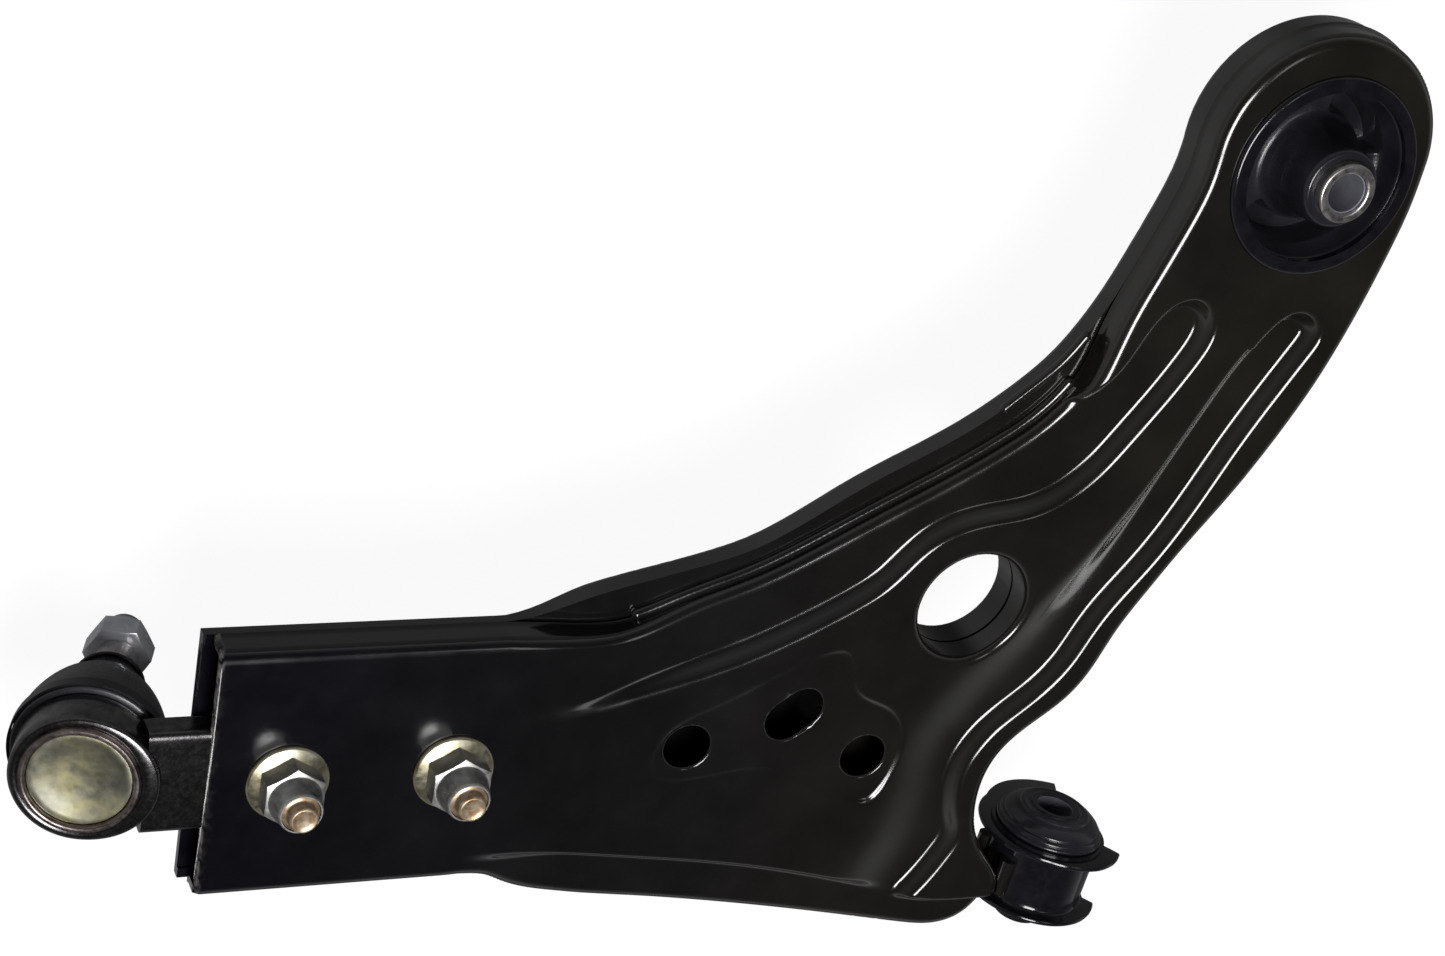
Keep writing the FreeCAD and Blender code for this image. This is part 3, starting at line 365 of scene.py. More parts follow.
def at_end(p):
    """Whether a point lies on the straight cut at the outer end."""
    return abs(p[0] - OUTER_END) < 0.01


def stamped_sheet():
    """The front sheet: its relief, the walls round its edge and the large hole, and its thickness."""
    edge = front_outline()
    xy, tris = triangulated(edge)
    top, normal, on_edge, on_big = bent_surface(xy, edge)
    # The rim is made of the sides that only one triangle has. On a wall it goes down to a knee and a foot.
    pairs = {(t[k], t[(k + 1) % 3]): True for t in tris for k in range(3)}
    rim = [(i, j) for i, j in pairs if (j, i) not in pairs]
    falls = {k: on_edge[k] or on_big[k] for pair in rim for k in pair}
    down = [k for k in falls if falls[k]]
    knee = {k: len(top) + n for n, k in enumerate(down)}
    foot = {k: len(top) + len(down) + n for n, k in enumerate(down)}
    flared = on_edge[down][:, None]
    side = unit(normal[down] * (1, 1, 0))
    foot_xy = top[down, :2] + FLARE * flared * side[:, :2]
    outer = np.vstack([top, np.column_stack([top[down, :2], np.full(len(down), SEAM + FLARE_RISE)]),
                       np.column_stack([foot_xy, np.full(len(down), SEAM)])])
    outer_n = np.vstack([normal, side, unit(side + flared * np.array((0, 0, 0.45)))])
    faces = [tuple(t) for t in tris]
    loops = [normal[t] for t in tris]
    free = []
    for i, j in rim:
        if not (falls[i] and falls[j]) or (at_end(top[i]) and at_end(top[j])):
            free.append((i, j))
            continue
        upper, lower = (j, i, knee[i], knee[j]), (knee[j], knee[i], foot[i], foot[j])
        faces += [upper, lower]
        loops += [outer_n[[knee[j], knee[i], knee[i], knee[j]]], outer_n[list(lower)]]
        free.append((foot[i], foot[j]))
    for k in foot:
        if at_end(top[k]):
            chain = (k, knee[k], foot[k]) if top[k, 1] > BOLTS[0][1] else (foot[k], knee[k], k)
            free += [chain[:2], chain[1:]]
    # The same again, one thickness further in, and strips that close the rims left free.
    inner = outer - outer_n * PLATE
    inner[len(top):, 2] = outer[len(top):, 2]
    both = np.vstack([outer, inner])
    shift = len(outer)
    faces += [tuple(n + shift for n in f[::-1]) for f in faces]
    loops += [-rows[::-1] for rows in loops]
    for i, j in free:
        quad = (j, i, i + shift, j + shift)
        p = both[list(quad)]
        n = np.cross(p[1] - p[0], p[2] - p[0])
        faces.append(quad)
        loops.append(np.tile(n / max(np.linalg.norm(n), 1e-9), (4, 1)))
    mesh = new_mesh("front_sheet", both, [tuple(int(n) for n in f) for f in faces])
    mesh.normals_split_custom_set(np.vstack(loops).tolist())
    # The paint is worn along the cut at the outer end.
    wear = mesh.attributes.new("wear", "FLOAT", "POINT")
    near_end = 0.5 * np.exp(-((both[:, 0] - OUTER_END) / 0.35) ** 2)
    wear.data.foreach_set("value", near_end.astype(np.float32))
    return add("front_sheet", mesh)


# ---------------------------------------------------------------- general builders

# Turned meshes stop at this radius, close enough to their axis to look shut.
AXIS = 0.001


def add(name, mesh, material=None):
    """A new object with a mesh, in the scene."""
    obj = bpy.data.objects.new(name, mesh)
    bpy.context.scene.collection.objects.link(obj)
    if material:
        mesh.materials.append(material)
    return obj


def new_mesh(name, points, faces):
    """A smooth-shaded mesh of points in millimetres."""
    mesh = bpy.data.meshes.new(name)
    mesh.from_pydata((np.asarray(points) * MM).tolist(), [], faces)
    mesh.polygons.foreach_set("use_smooth", [True] * len(mesh.polygons))
    mesh.update()
    return mesh


def ring_faces(rings, count):
    """Four-sided faces between rings of points that follow one another."""
    faces = []
    for k in range(rings - 1):
        here, beyond = k * count, (k + 1) * count
        for n in range(count):
            after = (n + 1) % count
            faces.append((here + n, here + after, beyond + after, beyond + n))
    return faces


def tidy(mesh, sharp=40):
    """Merge doubled points, turn the faces outwards and shade smooth up to an angle."""
    bm = bmesh.new()
    bm.from_mesh(mesh)
    bmesh.ops.remove_doubles(bm, verts=bm.verts, dist=1e-6)
    bmesh.ops.recalc_face_normals(bm, faces=bm.faces)
    bm.to_mesh(mesh)
    bm.free()
    mesh.set_sharp_from_angle(angle=math.radians(sharp))


def eased(points, radius, steps=4):
    """An open outline with its inner corners rounded; a corner may carry its own radius as a third number."""
    done = [points[0][:2]]
    for before, here, after in zip(points, points[1:], points[2:]):
        rad = here[2] if len(here) > 2 else radius
        p, a, b = (np.array(s[:2], float) for s in (here, before, after))
        la, lb = np.linalg.norm(a - p), np.linalg.norm(b - p)
        cut = min(rad, la * 0.49, lb * 0.49)
        if cut < 0.02:
            done.append(tuple(p))
            continue
        a, b = p + (a - p) / la * cut, p + (b - p) / lb * cut
        for k in range(steps + 1):
            t = k / steps
            done.append(tuple((1 - t) ** 2 * a + 2 * t * (1 - t) * p + t * t * b))
    done.append(points[-1][:2])
    return done


def lathe(name, rows, place, count=96):
    """A turned mesh standing on a place's Z. A row is a radius and a height, or gives them for an angle."""
    points = []
    for row in rows:
        for a in (2 * math.pi * k / count for k in range(count)):
            rad, height = row(a) if callable(row) else row
            points.append((rad * math.cos(a), rad * math.sin(a), height))
    mesh = new_mesh(name, points, ring_faces(len(rows), count))
    tidy(mesh)
    mesh.transform(place)
    return add(name, mesh)


def standing(x, y, z, direction=Vector((0, 0, 1))):
    """A matrix that puts local Z along a direction, with its origin at a point given in millimetres."""
    turn = direction.to_track_quat("Z", "Y").to_matrix().to_4x4()
    return Matrix.Translation(Vector((x, y, z)) * MM) @ turn


AT_CAP = standing(*CAP, STUD)
AT_REAR = standing(*REAR, 0)
AT_FRONT = standing(0, 0, 0, SWING)


# ---------------------------------------------------------------- materials

def shader(name):
    """A new material, its node tree and its surface node."""
    material = bpy.data.materials.new(name)
    material.use_nodes = True
    tree = material.node_tree
    return material, tree, tree.nodes["Principled BSDF"]


def node(tree, kind, **values):
    """A new node, with values for its inputs or else for its properties."""
    made = tree.nodes.new(kind)
    for key, given in values.items():
        if key in made.inputs:
            made.inputs[key].default_value = given
        else:
            setattr(made, key, given)
    return made


def noise(tree, scale, detail, rough=0.5):
    """Noise in the object's own space, in waves per metre."""
    where = node(tree, "ShaderNodeTexCoord").outputs["Object"]
    made = node(tree, "ShaderNodeTexNoise", Scale=scale, Detail=detail, Roughness=rough)
    tree.links.new(where, made.inputs["Vector"])
    return made.outputs["Fac"]


def spread(tree, fac, stops):
    """A colour for a factor, from stops of a place and a colour."""
    made = node(tree, "ShaderNodeValToRGB")
    elements = made.color_ramp.elements
    while len(elements) < len(stops):
        elements.new(0.5)
    for element, (at, colour) in zip(elements, stops):
        element.position = at
        element.color = (*colour, 1)
    tree.links.new(fac, made.inputs["Fac"])
    return made.outputs["Color"]


def component(tree, vector, axis):
    """One coordinate of a vector."""
    parts = node(tree, "ShaderNodeSeparateXYZ")
    tree.links.new(vector, parts.inputs[0])
    return parts.outputs[axis]


def rescaled(tree, value, low, high, at_low=0.0, at_high=1.0):
    """A node that takes a value from one range to another, and holds it there."""
    made = node(tree, "ShaderNodeMapRange")
    for key, v in (("From Min", low), ("From Max", high), ("To Min", at_low), ("To Max", at_high)):
        made.inputs[key].default_value = v
    tree.links.new(value, made.inputs["Value"])
    return made


def grey(v):
    return (v, v, v)


def two_greys(rough):
    """Stops between two roughnesses."""
    return [(0.3, grey(rough[0])), (0.7, grey(rough[1]))]


def bump(tree, surface, height, strength, distance):
    """Fine unevenness of a surface."""
    made = node(tree, "ShaderNodeBump", Strength=strength, Distance=distance)
    tree.links.new(height, made.inputs["Height"])
    tree.links.new(made.outputs["Normal"], surface.inputs["Normal"])


def paint():
    """Gloss black paint, warmer towards the inboard end, with faint orange peel and bare steel where worn."""
    material, tree, surface = shader("gloss_black_paint")
    place = component(tree, node(tree, "ShaderNodeTexCoord").outputs["Object"], "X")
    inboard = rescaled(tree, place, -0.3, 0.05).outputs["Result"]
    tint = spread(tree, inboard, [(0, (0.0022, 0.0022, 0.0042)), (1, (0.0112, 0.0098, 0.0075))])
    patches = spread(tree, noise(tree, 30, 5), [(0.35, grey(0.7)), (0.7, grey(1.25))])
    mixed = node(tree, "ShaderNodeMix", data_type="RGBA", blend_type="MULTIPLY", Factor=1)
    tree.links.new(tint, mixed.inputs["A"])
    tree.links.new(patches, mixed.inputs["B"])
    worn = node(tree, "ShaderNodeAttribute", attribute_name="wear")
    broken = node(tree, "ShaderNodeMath", operation="MULTIPLY")
    tree.links.new(worn.outputs["Fac"], broken.inputs[0])
    flakes = spread(tree, noise(tree, 260, 6, 0.7), [(0.42, grey(0)), (0.6, grey(1))])
    tree.links.new(flakes, broken.inputs[1])
    steel = node(tree, "ShaderNodeMix", data_type="RGBA", B=(0.55, 0.52, 0.48, 1))
    tree.links.new(broken.outputs[0], steel.inputs["Factor"])
    tree.links.new(mixed.outputs["Result"], steel.inputs["A"])
    tree.links.new(steel.outputs["Result"], surface.inputs["Base Color"])
    rough = spread(tree, noise(tree, 90, 6, 0.6), [(0.3, grey(0.14)), (0.75, grey(0.24))])
    tree.links.new(rough, surface.inputs["Roughness"])
    surface.inputs["Coat Weight"].default_value = 0.55
    surface.inputs["Coat Roughness"].default_value = 0.12
    bump(tree, surface, noise(tree, 700, 2), 0.012, 0.0004)
    return material


def metal(name, colours, rough, scale, bumps=0.1, metallic=1.0):
    """A metal whose colour and gloss wander between given values."""
    material, tree, surface = shader(name)
    surface.inputs["Metallic"].default_value = metallic
    stops = [(0.3 + 0.4 * k / (len(colours) - 1), c) for k, c in enumerate(colours)]
    tree.links.new(spread(tree, noise(tree, scale, 7, 0.6), stops), surface.inputs["Base Color"])
    tree.links.new(spread(tree, noise(tree, scale * 3, 5), two_greys(rough)), surface.inputs["Roughness"])
    bump(tree, surface, noise(tree, scale * 8, 3), bumps, 0.0002)
    return material


def rubber(name, colour, rough, grain=0.15):
    """Rubber or plastic whose colour and gloss wander a little."""
    material, tree, surface = shader(name)
    stops = [(0.3, tuple(0.6 * c for c in colour)), (0.75, tuple(1.5 * c for c in colour))]
    tree.links.new(spread(tree, noise(tree, 60, 6), stops), surface.inputs["Base Color"])
    tree.links.new(spread(tree, noise(tree, 220, 4), two_greys(rough)), surface.inputs["Roughness"])
    bump(tree, surface, noise(tree, 1500, 3), grain, 0.0002)
    return material


PAINT = paint()
ZINC = metal("yellow_zinc", [(0.3, 0.27, 0.17), (0.5, 0.46, 0.33), (0.62, 0.6, 0.5)], (0.26, 0.42), 160)
PALE_ZINC = metal("pale_zinc", [(0.3, 0.3, 0.3), (0.48, 0.48, 0.47), (0.64, 0.63, 0.6)], (0.34, 0.5), 160)
CAP_ZINC = metal("dished_cap_zinc", [(0.2, 0.2, 0.18), (0.36, 0.35, 0.26), (0.54, 0.49, 0.27)],
                 (0.34, 0.5), 75)
SILVER = metal("silver_zinc", [(0.5, 0.51, 0.58), (0.68, 0.69, 0.74), (0.84, 0.84, 0.88)],
               (0.16, 0.28), 110, 0.04, metallic=0.35)
BRIGHT = metal("bright_steel", [(0.36, 0.34, 0.34), (0.62, 0.58, 0.56)], (0.25, 0.42), 150)
# Painted light and painted shade: the rear bore's steel is painted paler, as if lit inside, and its darker
# copy for the front bore is painted shade.
PAINTED_LIT_BORE = metal("painted_lit_bore_steel", [(0.2, 0.2, 0.24), (0.3, 0.3, 0.35)], (0.4, 0.55), 150, metallic=0.2)
SHADED_BORE = metal("shaded_bore_steel", [(0.07, 0.07, 0.088), (0.12, 0.12, 0.145)], (0.35, 0.5), 150,
                    metallic=0.1)
DARK_STEEL = metal("dark_steel", [(0.03, 0.03, 0.04), (0.08, 0.08, 0.09)], (0.3, 0.45), 150)
CRIMP = metal("worn_crimp", [(0.12, 0.1, 0.095), (0.24, 0.2, 0.19), (0.38, 0.33, 0.31)], (0.26, 0.4), 200)
TIP = metal("rusty_tip", [(0.26, 0.13, 0.06), (0.46, 0.34, 0.22), (0.62, 0.56, 0.46)],
            (0.34, 0.5), 330, metallic=0.8)
FORGED = metal("dark_forging", [(0.07, 0.068, 0.072), (0.11, 0.106, 0.11), (0.16, 0.15, 0.155)], (0.2, 0.28),
               300, 0.08)
COATED = metal("black_coating", [(0.0035, 0.0035, 0.005), (0.009, 0.009, 0.012)], (0.1, 0.18),
               160, 0.03, metallic=0.0)
BUSH_RUBBER = rubber("bush_rubber", (0.012, 0.012, 0.0155), (0.16, 0.28))
BOOT_RUBBER = rubber("boot_rubber", (0.03, 0.03, 0.036), (0.24, 0.36), 0.04)
BAND = rubber("band_black", (0.003, 0.003, 0.004), (0.3, 0.4), 0.02)
ACETAL = rubber("acetal", (0.6, 0.58, 0.52), (0.35, 0.5), 0.03)

# The finish of each CAD piece; it shows on those that no piece of this scene stands for.
CAD_FINISH = {
    "front_shell": PAINT, "back_shell": PAINT, "ledge_weld_bead": PAINT, "ledge_end_weld_bead": PAINT,
    "collar_weld_beads": PAINT, "front_bush_collar": COATED, "front_bush_outer_sleeve": COATED,
    "front_bush_rubber": BUSH_RUBBER, "front_bush_inner_sleeve": DARK_STEEL, "rear_bush_outer_sleeve": COATED,
    "rear_bush_rubber": BUSH_RUBBER, "rear_bush_inner_sleeve": BRIGHT, "ball_joint_housing": FORGED,
    "ball_joint_end_cap": ZINC, "ball_joint_bearing_liner": ACETAL, "ball_stud": BRIGHT,
    "dust_boot": BOOT_RUBBER, "boot_lower_band": BAND, "boot_neck_clip": BAND, "stud_nut": SILVER,
    "clamp_bolts": ZINC, "flange_nuts": ZINC,
}
for name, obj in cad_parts.items():
    obj.data.materials.clear()
    obj.data.materials.append(CAD_FINISH[name])


# ---------------------------------------------------------------- bodies and finishes

def put(obj, material, body, node_name):
    """The piece takes a finish, moves with a CAD body and stands for a CAD node."""
    obj.data.materials.append(material)
    if body:
        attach(obj, body)
    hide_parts(node_name)
    return obj


# ---------------------------------------------------------------- ball joint

TAIL_LOW, TAIL_HIGH, TAIL_SIDE = -1.4, 9.4, 18.0
END_X, INBOARD_X = -323, BOLTS[1][0] + 20


def toward_tail(a):
    """1 at the side of the ball joint that faces its tail, 0 a quarter turn from there."""
    return max(0.0, math.sin(a)) ** 2


def boss(rad, height):
    """A row of the ball joint's boss, wider on the side of its tail."""
    return lambda a: (rad + 2.4 * toward_tail(a), height)


def tail_bar():
    """The forging's flat tail: a bar along X with rounded long edges."""
    y, rounding = BOLTS[0][1], 2.6
    outline = []
    for sy, sz, start in ((1, 1, 0), (-1, 1, 90), (-1, -1, 180), (1, -1, 270)):
        corner_y = y + sy * (TAIL_SIDE - rounding)
        corner_z = TAIL_HIGH - rounding if sz > 0 else TAIL_LOW + rounding
        for k in range(7):
            a = math.radians(start + 15 * k)
            outline.append((corner_y + rounding * math.cos(a), corner_z + rounding * math.sin(a)))
        if start == 0:
            # One more row keeps the highlight of the edge that faces the light narrow.
            outline.append((corner_y - 0.9, TAIL_HIGH))
    rings, n = max(2, int((INBOARD_X - END_X) / 3) + 1), len(outline)
    points = [(x, *p) for x in np.linspace(END_X, INBOARD_X, rings) for p in outline]
    ends = [tuple(range(n)), tuple(range((rings - 1) * n, rings * n))]
    mesh = new_mesh("ball_joint_tail", points, ring_faces(rings, n) + ends)
    tidy(mesh)
    return add("ball_joint_tail", mesh)


BOSS_ROWS = [(18.2, 1.6), (18.4, 0.5), (18.9, 0.1), (19.6, 0.0), boss(20.6, 0.1), boss(21.1, 0.5),
             boss(21.4, 1.2), boss(21.4, 5), boss(21.4, 11), (21.6, 13.6), (21.2, 14.4), (20.2, 14.4),
             (20.2, 21.6), (19.6, 22), (11.8, 22)]
CRIMP_ROWS = [(15.9, 1.6), (15.9, 0.3), (16.05, -0.6), (16.4, -1.05), (17.0, -1.2), (17.7, -1.05),
              (18.15, -0.4), (18.4, 0.5), (18.4, 1.6)]
CAP_ROWS = [(AXIS, 2.2), (4, 2.1), (8, 1.75), (11, 1.2), (13.4, 0.6), (14.9, 0.35), (15.6, 0.5), (15.9, 1.2),
            (15.9, 2.25), (AXIS, 2.9)]
put(lathe("ball_joint_boss", BOSS_ROWS, AT_CAP, 144), FORGED, "arm", "ball_joint_housing")
put(lathe("ball_joint_crimp", CRIMP_ROWS, AT_CAP, 144), CRIMP, "arm", "ball_joint_housing")
put(tail_bar(), FORGED, "arm", "ball_joint_housing")
put(lathe("end_cap", CAP_ROWS, AT_CAP, 144), CAP_ZINC, "arm", "ball_joint_end_cap")

# The dust boot is in two parts, which meet this far along the stud.
BOOT_SPLIT = 38.0
BOOT_OUTSIDE = eased([(22.6, 14.8), (23.2, 15.1), (23.45, 17), (23.4, 21), (22.6, 27), (21.0, 32.6),
                      (18.9, 38), (15.6, 44), (12.6, 49), (11, 52.4), (10.1, 54.8), (9.9, 57.7),
                      (8.4, 58)], 2.5)
BOOT_INSIDE = [(8.2, 57.7), (8.2, 53.4), (11, 49.2), (14.4, 43.2), (17.2, 38), (19.4, 32.6), (20.5, 26.6),
               (20.3, 20), (20.25, 14.9)]


def part_of_boot(points, wanted):
    """The points at the heights wanted, with one where they cross the split."""
    kept = []
    for p, q in zip(points, points[1:] + [None]):
        if wanted(p[1]):
            kept.append(p)
        if q and (p[1] - BOOT_SPLIT) * (q[1] - BOOT_SPLIT) < 0:
            t = (BOOT_SPLIT - p[1]) / (q[1] - p[1])
            kept.append((p[0] + t * (q[0] - p[0]), BOOT_SPLIT))
    return kept


def boot_half(name, wanted):
    """Part of the dust boot's wall, closed round its rim and open where it meets the other part."""
    rows = part_of_boot(BOOT_OUTSIDE, wanted) + part_of_boot(BOOT_INSIDE, wanted)
    return lathe(name, rows + rows[:1] if wanted(0) else rows, AT_CAP, 128)


bell = put(boot_half("boot_bell", lambda z: z <= BOOT_SPLIT), BOOT_RUBBER, None, "dust_boot")
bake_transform(bell)
throat = put(boot_half("boot_throat", lambda z: z >= BOOT_SPLIT), BOOT_RUBBER, None, "dust_boot")
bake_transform(throat)


# ---------------------------------------------------------------- nuts and bolts

def hexagon(a, half):
    """Radius at an angle of a hexagon with a corner towards +Y."""
    off = (math.degrees(a) + 30) % 60 - 30
    return half / math.cos(math.radians(off))


def hex_rows(half, low, high, drop=0.4):
    """A hexagon's side, with its corners turned down at the top and bottom."""
    def corner(height, sign):
        return lambda a: (hexagon(a, half), height + sign * drop * (hexagon(a, half) - half))
    return [(half - 0.25, low), corner(low + 0.1, 1), corner(high - 0.15, -1), (half - 0.35, high)]


WASHER_ROWS = [(6.1, FACE)] + eased([(12.6, FACE), (13, FACE + 0.2), (13, FACE + 1.0), (12.5, FACE + 1.5),
                                     (10, FACE + 2.4), (8, FACE + 2.8)], 0.5) + [(6.1, FACE + 2.8)]
HEXAGON_ROWS = [(6.1, 14)] + hex_rows(9.0, 13.8, 22.2) + [(6.1, 22.2)]
COLLAR_ROWS = [(6.1, 22)] + eased([(8.4, 22.1), (8.35, 22.7), (6.9, 29.2), (6.5, 29.8)], 0.3) + [(6.1, 29.8)]
BOLT_ROWS = [(AXIS, -4), (6, -4), (6, 28.6)] + eased([(5.9, 29.2), (4.6, 29.7), (4.5, 32.8), (3.9, 33.5),
                                                      (2.6, 33.0), (AXIS, 32.8)], 0.5)
HEAD_ROWS = [(AXIS, -14.4), (8.4, -14.4), (8.6, -14.2)] + hex_rows(9.0, -14.2, -6.2)[1:3] + eased(
    [(10.2, -6.5), (12.8, -5.2), (13, -4.1), (AXIS, -4.02)], 0.4)
STUD_NUT_ROWS = [(6.05, 72)] + hex_rows(9.5, 72, 82) + eased(
    [(8.7, 82.1), (8.5, 82.5), (7.8, 86.0), (7.3, 86.5), (6.05, 86.5)], 0.4)
for count, (x, y) in enumerate(BOLTS):
    for name, rows, finish, part in (("nut_flange", WASHER_ROWS, ZINC, "flange_nuts"),
                                     ("nut_hexagon", HEXAGON_ROWS, PALE_ZINC, "flange_nuts"),
                                     ("nut_collar", COLLAR_ROWS, PALE_ZINC, "flange_nuts"),
                                     ("bolt", BOLT_ROWS, TIP, "clamp_bolts"),
                                     ("bolt_head", HEAD_ROWS, ZINC, "clamp_bolts")):
        put(lathe(f"{name}_{count}", rows, standing(x, y, 0)), finish, "arm", part)
put(lathe("stud_nut", STUD_NUT_ROWS, AT_CAP), SILVER, "stud", "stud_nut")


# ---------------------------------------------------------------- front bush

# Rims of the two irregular flanges: an angle in degrees and a radius.
UPPER_FLANGE = [(33, 27), (50, 26.4), (69, 25.5), (89, 24.2), (115, 22.6), (138, 22.8), (155, 24.4),
                (171, 24.8), (205, 24.8), (238, 25.6), (248, 27.2), (267, 30.4), (287, 33.5), (303, 35.6),
                (309, 21.2), (388, 21.2)]
LOWER_FLANGE = [(27, 25), (50, 24.4), (75, 24.2), (100, 24.2), (135, 24), (180, 24), (225, 24),
                (250, 24.4), (275, 26), (298, 27.4), (303, 21.2), (383, 21.2)]


def flange_rim(outline, inset, height):
    """A row along a flange's irregular outline; angles run from the inboard side up towards the face."""
    angles, radii = [a for a, _ in outline], [r for _, r in outline]
    first = angles[0]

    def row(a):
        turn = (180 - math.degrees(a) - first) % 360 + first
        return float(np.interp(turn, angles + [first + 360], radii + [radii[0]])) - inset, height
    return row


def flange_rows(outline, outside, inside):
    """From a flange's outer face, round its edge, to its face next to the tube."""
    step = 1 if inside > outside else -1
    return [flange_rim(outline, 0.9, outside), flange_rim(outline, 0.25, outside + 0.2 * step),
            flange_rim(outline, 0, outside + 0.7 * step), flange_rim(outline, 0, inside - 0.6 * step),
            flange_rim(outline, 0.3, inside - 0.15 * step), flange_rim(outline, 0.9, inside)]


TUBE_ROWS = [(20.4, -10.7), (19.6, -10.3), (19.25, -9.5), (19.2, -8), (19.2, 8), (19.25, 9.5), (19.6, 10.3),
             (20.4, 10.7)]
FLANGED_ROWS = ([(17.4, -12.5)] + flange_rows(LOWER_FLANGE, -12.5, -10.7) + TUBE_ROWS
                + flange_rows(UPPER_FLANGE, 12.5, 10.7)[::-1] + [(17.4, 12.5), (17.4, -12.5)])
DOME = eased([(16, 13.8), (19.0, 13.8), (19.3, 14.5, 0.4), (18.9, 15.2), (18.4, 15.3, 0.2), (18.5, 16.1, 0.4),
              (17.8, 16.9), (17.2, 17.0, 0.2), (17.2, 17.8, 0.5), (16.0, 18.9, 1.2), (14.2, 20.2, 1.2),
              (12.6, 20.8, 0.3), (12.3, 21.5, 0.4), (11.5, 21.8), (10.6, 21.6, 0.4), (9.6, 21.5),
              (8.95, 21.7)], 0.5)
UNDERSIDE = [(8.95, -17.3), (12.6, -17.2), (15.6, -16), (17.2, -14.6), (17.4, -13.8), (16, -13.8)]
SLEEVE_ROWS = [(6.5, 21.6), (6.9, 22.1), (8.4, 22.2), (8.85, 21.8), (8.9, 21.2), (8.9, -21.2), (8.4, -22.2),
               (6.9, -22.2), (6.5, -21.6)]
BORE_ROWS = [(6.5, -21.6), (6.25, -21.4), (6.25, 21.4), (6.5, 21.6)]
put(lathe("front_collar", FLANGED_ROWS, AT_FRONT, 240), COATED, "arm", "front_bush_collar")
put(lathe("front_rubber", DOME + UNDERSIDE + DOME[:1], AT_FRONT, 128), BUSH_RUBBER, "arm",
    "front_bush_rubber")
put(lathe("front_sleeve_wall", SLEEVE_ROWS, AT_FRONT, 72), DARK_STEEL, "subframe_side",
    "front_bush_inner_sleeve")
# The front bore's darker steel is painted shade.
put(lathe("front_sleeve_bore", BORE_ROWS, AT_FRONT, 72), SHADED_BORE, "subframe_side",
    "front_bush_inner_sleeve")


# ---------------------------------------------------------------- rear bush

RUBBER_IN, RUBBER_OUT = 10.05, 31
BOWL = eased([(RUBBER_IN, 22.9), (12.2, 22.8), (13, 21.8), (13.7, 18.5, 1.5), (15.0, 9, 4), (17.4, 3.2, 3),
              (21, 2.4, 2), (25.6, 3.6, 2), (27.6, 8.5, 1.5), (28.4, 11.1, 0.9), (29.6, 11.6),
              (RUBBER_OUT, 11.5)], 0.8)
UNDER = eased([(RUBBER_IN, -22.4), (13.2, -21.4), (15.4, -12, 3), (17, -7.8, 2), (27.2, -7.6, 1),
               (28, -11.6, 0.6), (RUBBER_OUT, -12)], 0.8)
# The deep pockets: the angle of each one's middle and half its width, in degrees, and their floor.
POCKETS = ((48, 34), (-95, 44))
POCKET_FLOOR = -5.6


def along_profile(profile, rad):
    """Height of a profile at given radii."""
    radii = np.maximum.accumulate(np.array([p[0] for p in profile]) + 1e-6 * np.arange(len(profile)))
    return np.interp(rad, radii, [p[1] for p in profile])


def bowl_height(rad, turn):
    """Height of the rear rubber's upper face, with its two deep pockets."""
    height = along_profile(BOWL, rad)
    for middle_turn, half_turn in POCKETS:
        off = np.abs((np.degrees(turn) - middle_turn + 180) % 360 - 180)
        deep = smooth((rad - 18.0) / 1.4) * smooth((26.0 - rad) / 1.4) * smooth((half_turn + 3 - off) / 6)
        height = height - deep * (height - POCKET_FLOOR)
    return height


def under_height(rad, turn):
    """Height of the rear rubber's lower face, the same all round."""
    return along_profile(UNDER, rad)


def polar_sheet(radii, turns, height, up):
    """Points, faces and normals of a height given round the rear bush."""
    rad, turn = np.meshgrid(radii, turns)
    z = height(rad, turn)
    dr, dt = 0.02, 0.002
    along = (height(rad + dr, turn) - height(rad - dr, turn)) / (2 * dr)
    around = (height(rad, turn + dt) - height(rad, turn - dt)) / (2 * dt) / rad
    c, s = np.cos(turn), np.sin(turn)
    normal = np.stack([-along * c + around * s, -along * s - around * c, np.ones_like(z)], -1)
    normal /= np.linalg.norm(normal, axis=-1)[..., None]
    m, n = z.shape
    index = np.arange(m * n).reshape(m, n)
    quads = np.stack([index[:-1, :-1], index[:-1, 1:], index[1:, 1:], index[1:, :-1]], -1).reshape(-1, 4)
    points = np.stack([rad * c + REAR[0], rad * s + REAR[1], z], -1).reshape(-1, 3)
    return points, quads if up else quads[:, ::-1], (normal if up else -normal).reshape(-1, 3)


def rear_rubber(name, start_rad, end_rad, count, start, end):
    """Upper and lower faces of part of the rear rubber, between two radii and two angles in degrees."""
    radii = np.linspace(start_rad, end_rad, count)
    turns = np.radians(np.linspace(start, end, int((end - start) / 1.5) + 1))
    top = polar_sheet(radii, turns, bowl_height, True)
    bottom = polar_sheet(radii, turns, under_height, False)
    quads = np.vstack([top[1], bottom[1] + len(top[0])])
    mesh = new_mesh(name, np.vstack([top[0], bottom[0]]), quads.tolist())
    mesh.normals_split_custom_set_from_vertices(np.vstack([top[2], bottom[2]]).tolist())
    return add(name, mesh)


# Between the ring and the core, the rubber is in equal parts, each a sector round its own radius.
WEBS, WEB_IN, WEB_OUT, STRETCH_OUT = 8, 17.0, 28.4, 26.2
put(rear_rubber("rear_rubber_ring", WEB_OUT, RUBBER_OUT, 9, 0, 360), BUSH_RUBBER, "arm", "rear_bush_rubber")
put(rear_rubber("rear_rubber_core", RUBBER_IN, WEB_IN, 32, 0, 360), BUSH_RUBBER, "rear_sleeve",
    "rear_bush_rubber")
for k in range(WEBS):
    turn, half = 360 / WEBS * k, 180 / WEBS
    web = put(rear_rubber(f"rear_rubber_web_{k}", WEB_IN, WEB_OUT, 36, turn - half, turn + half), BUSH_RUBBER,
              None, "rear_bush_rubber")
    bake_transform(web)

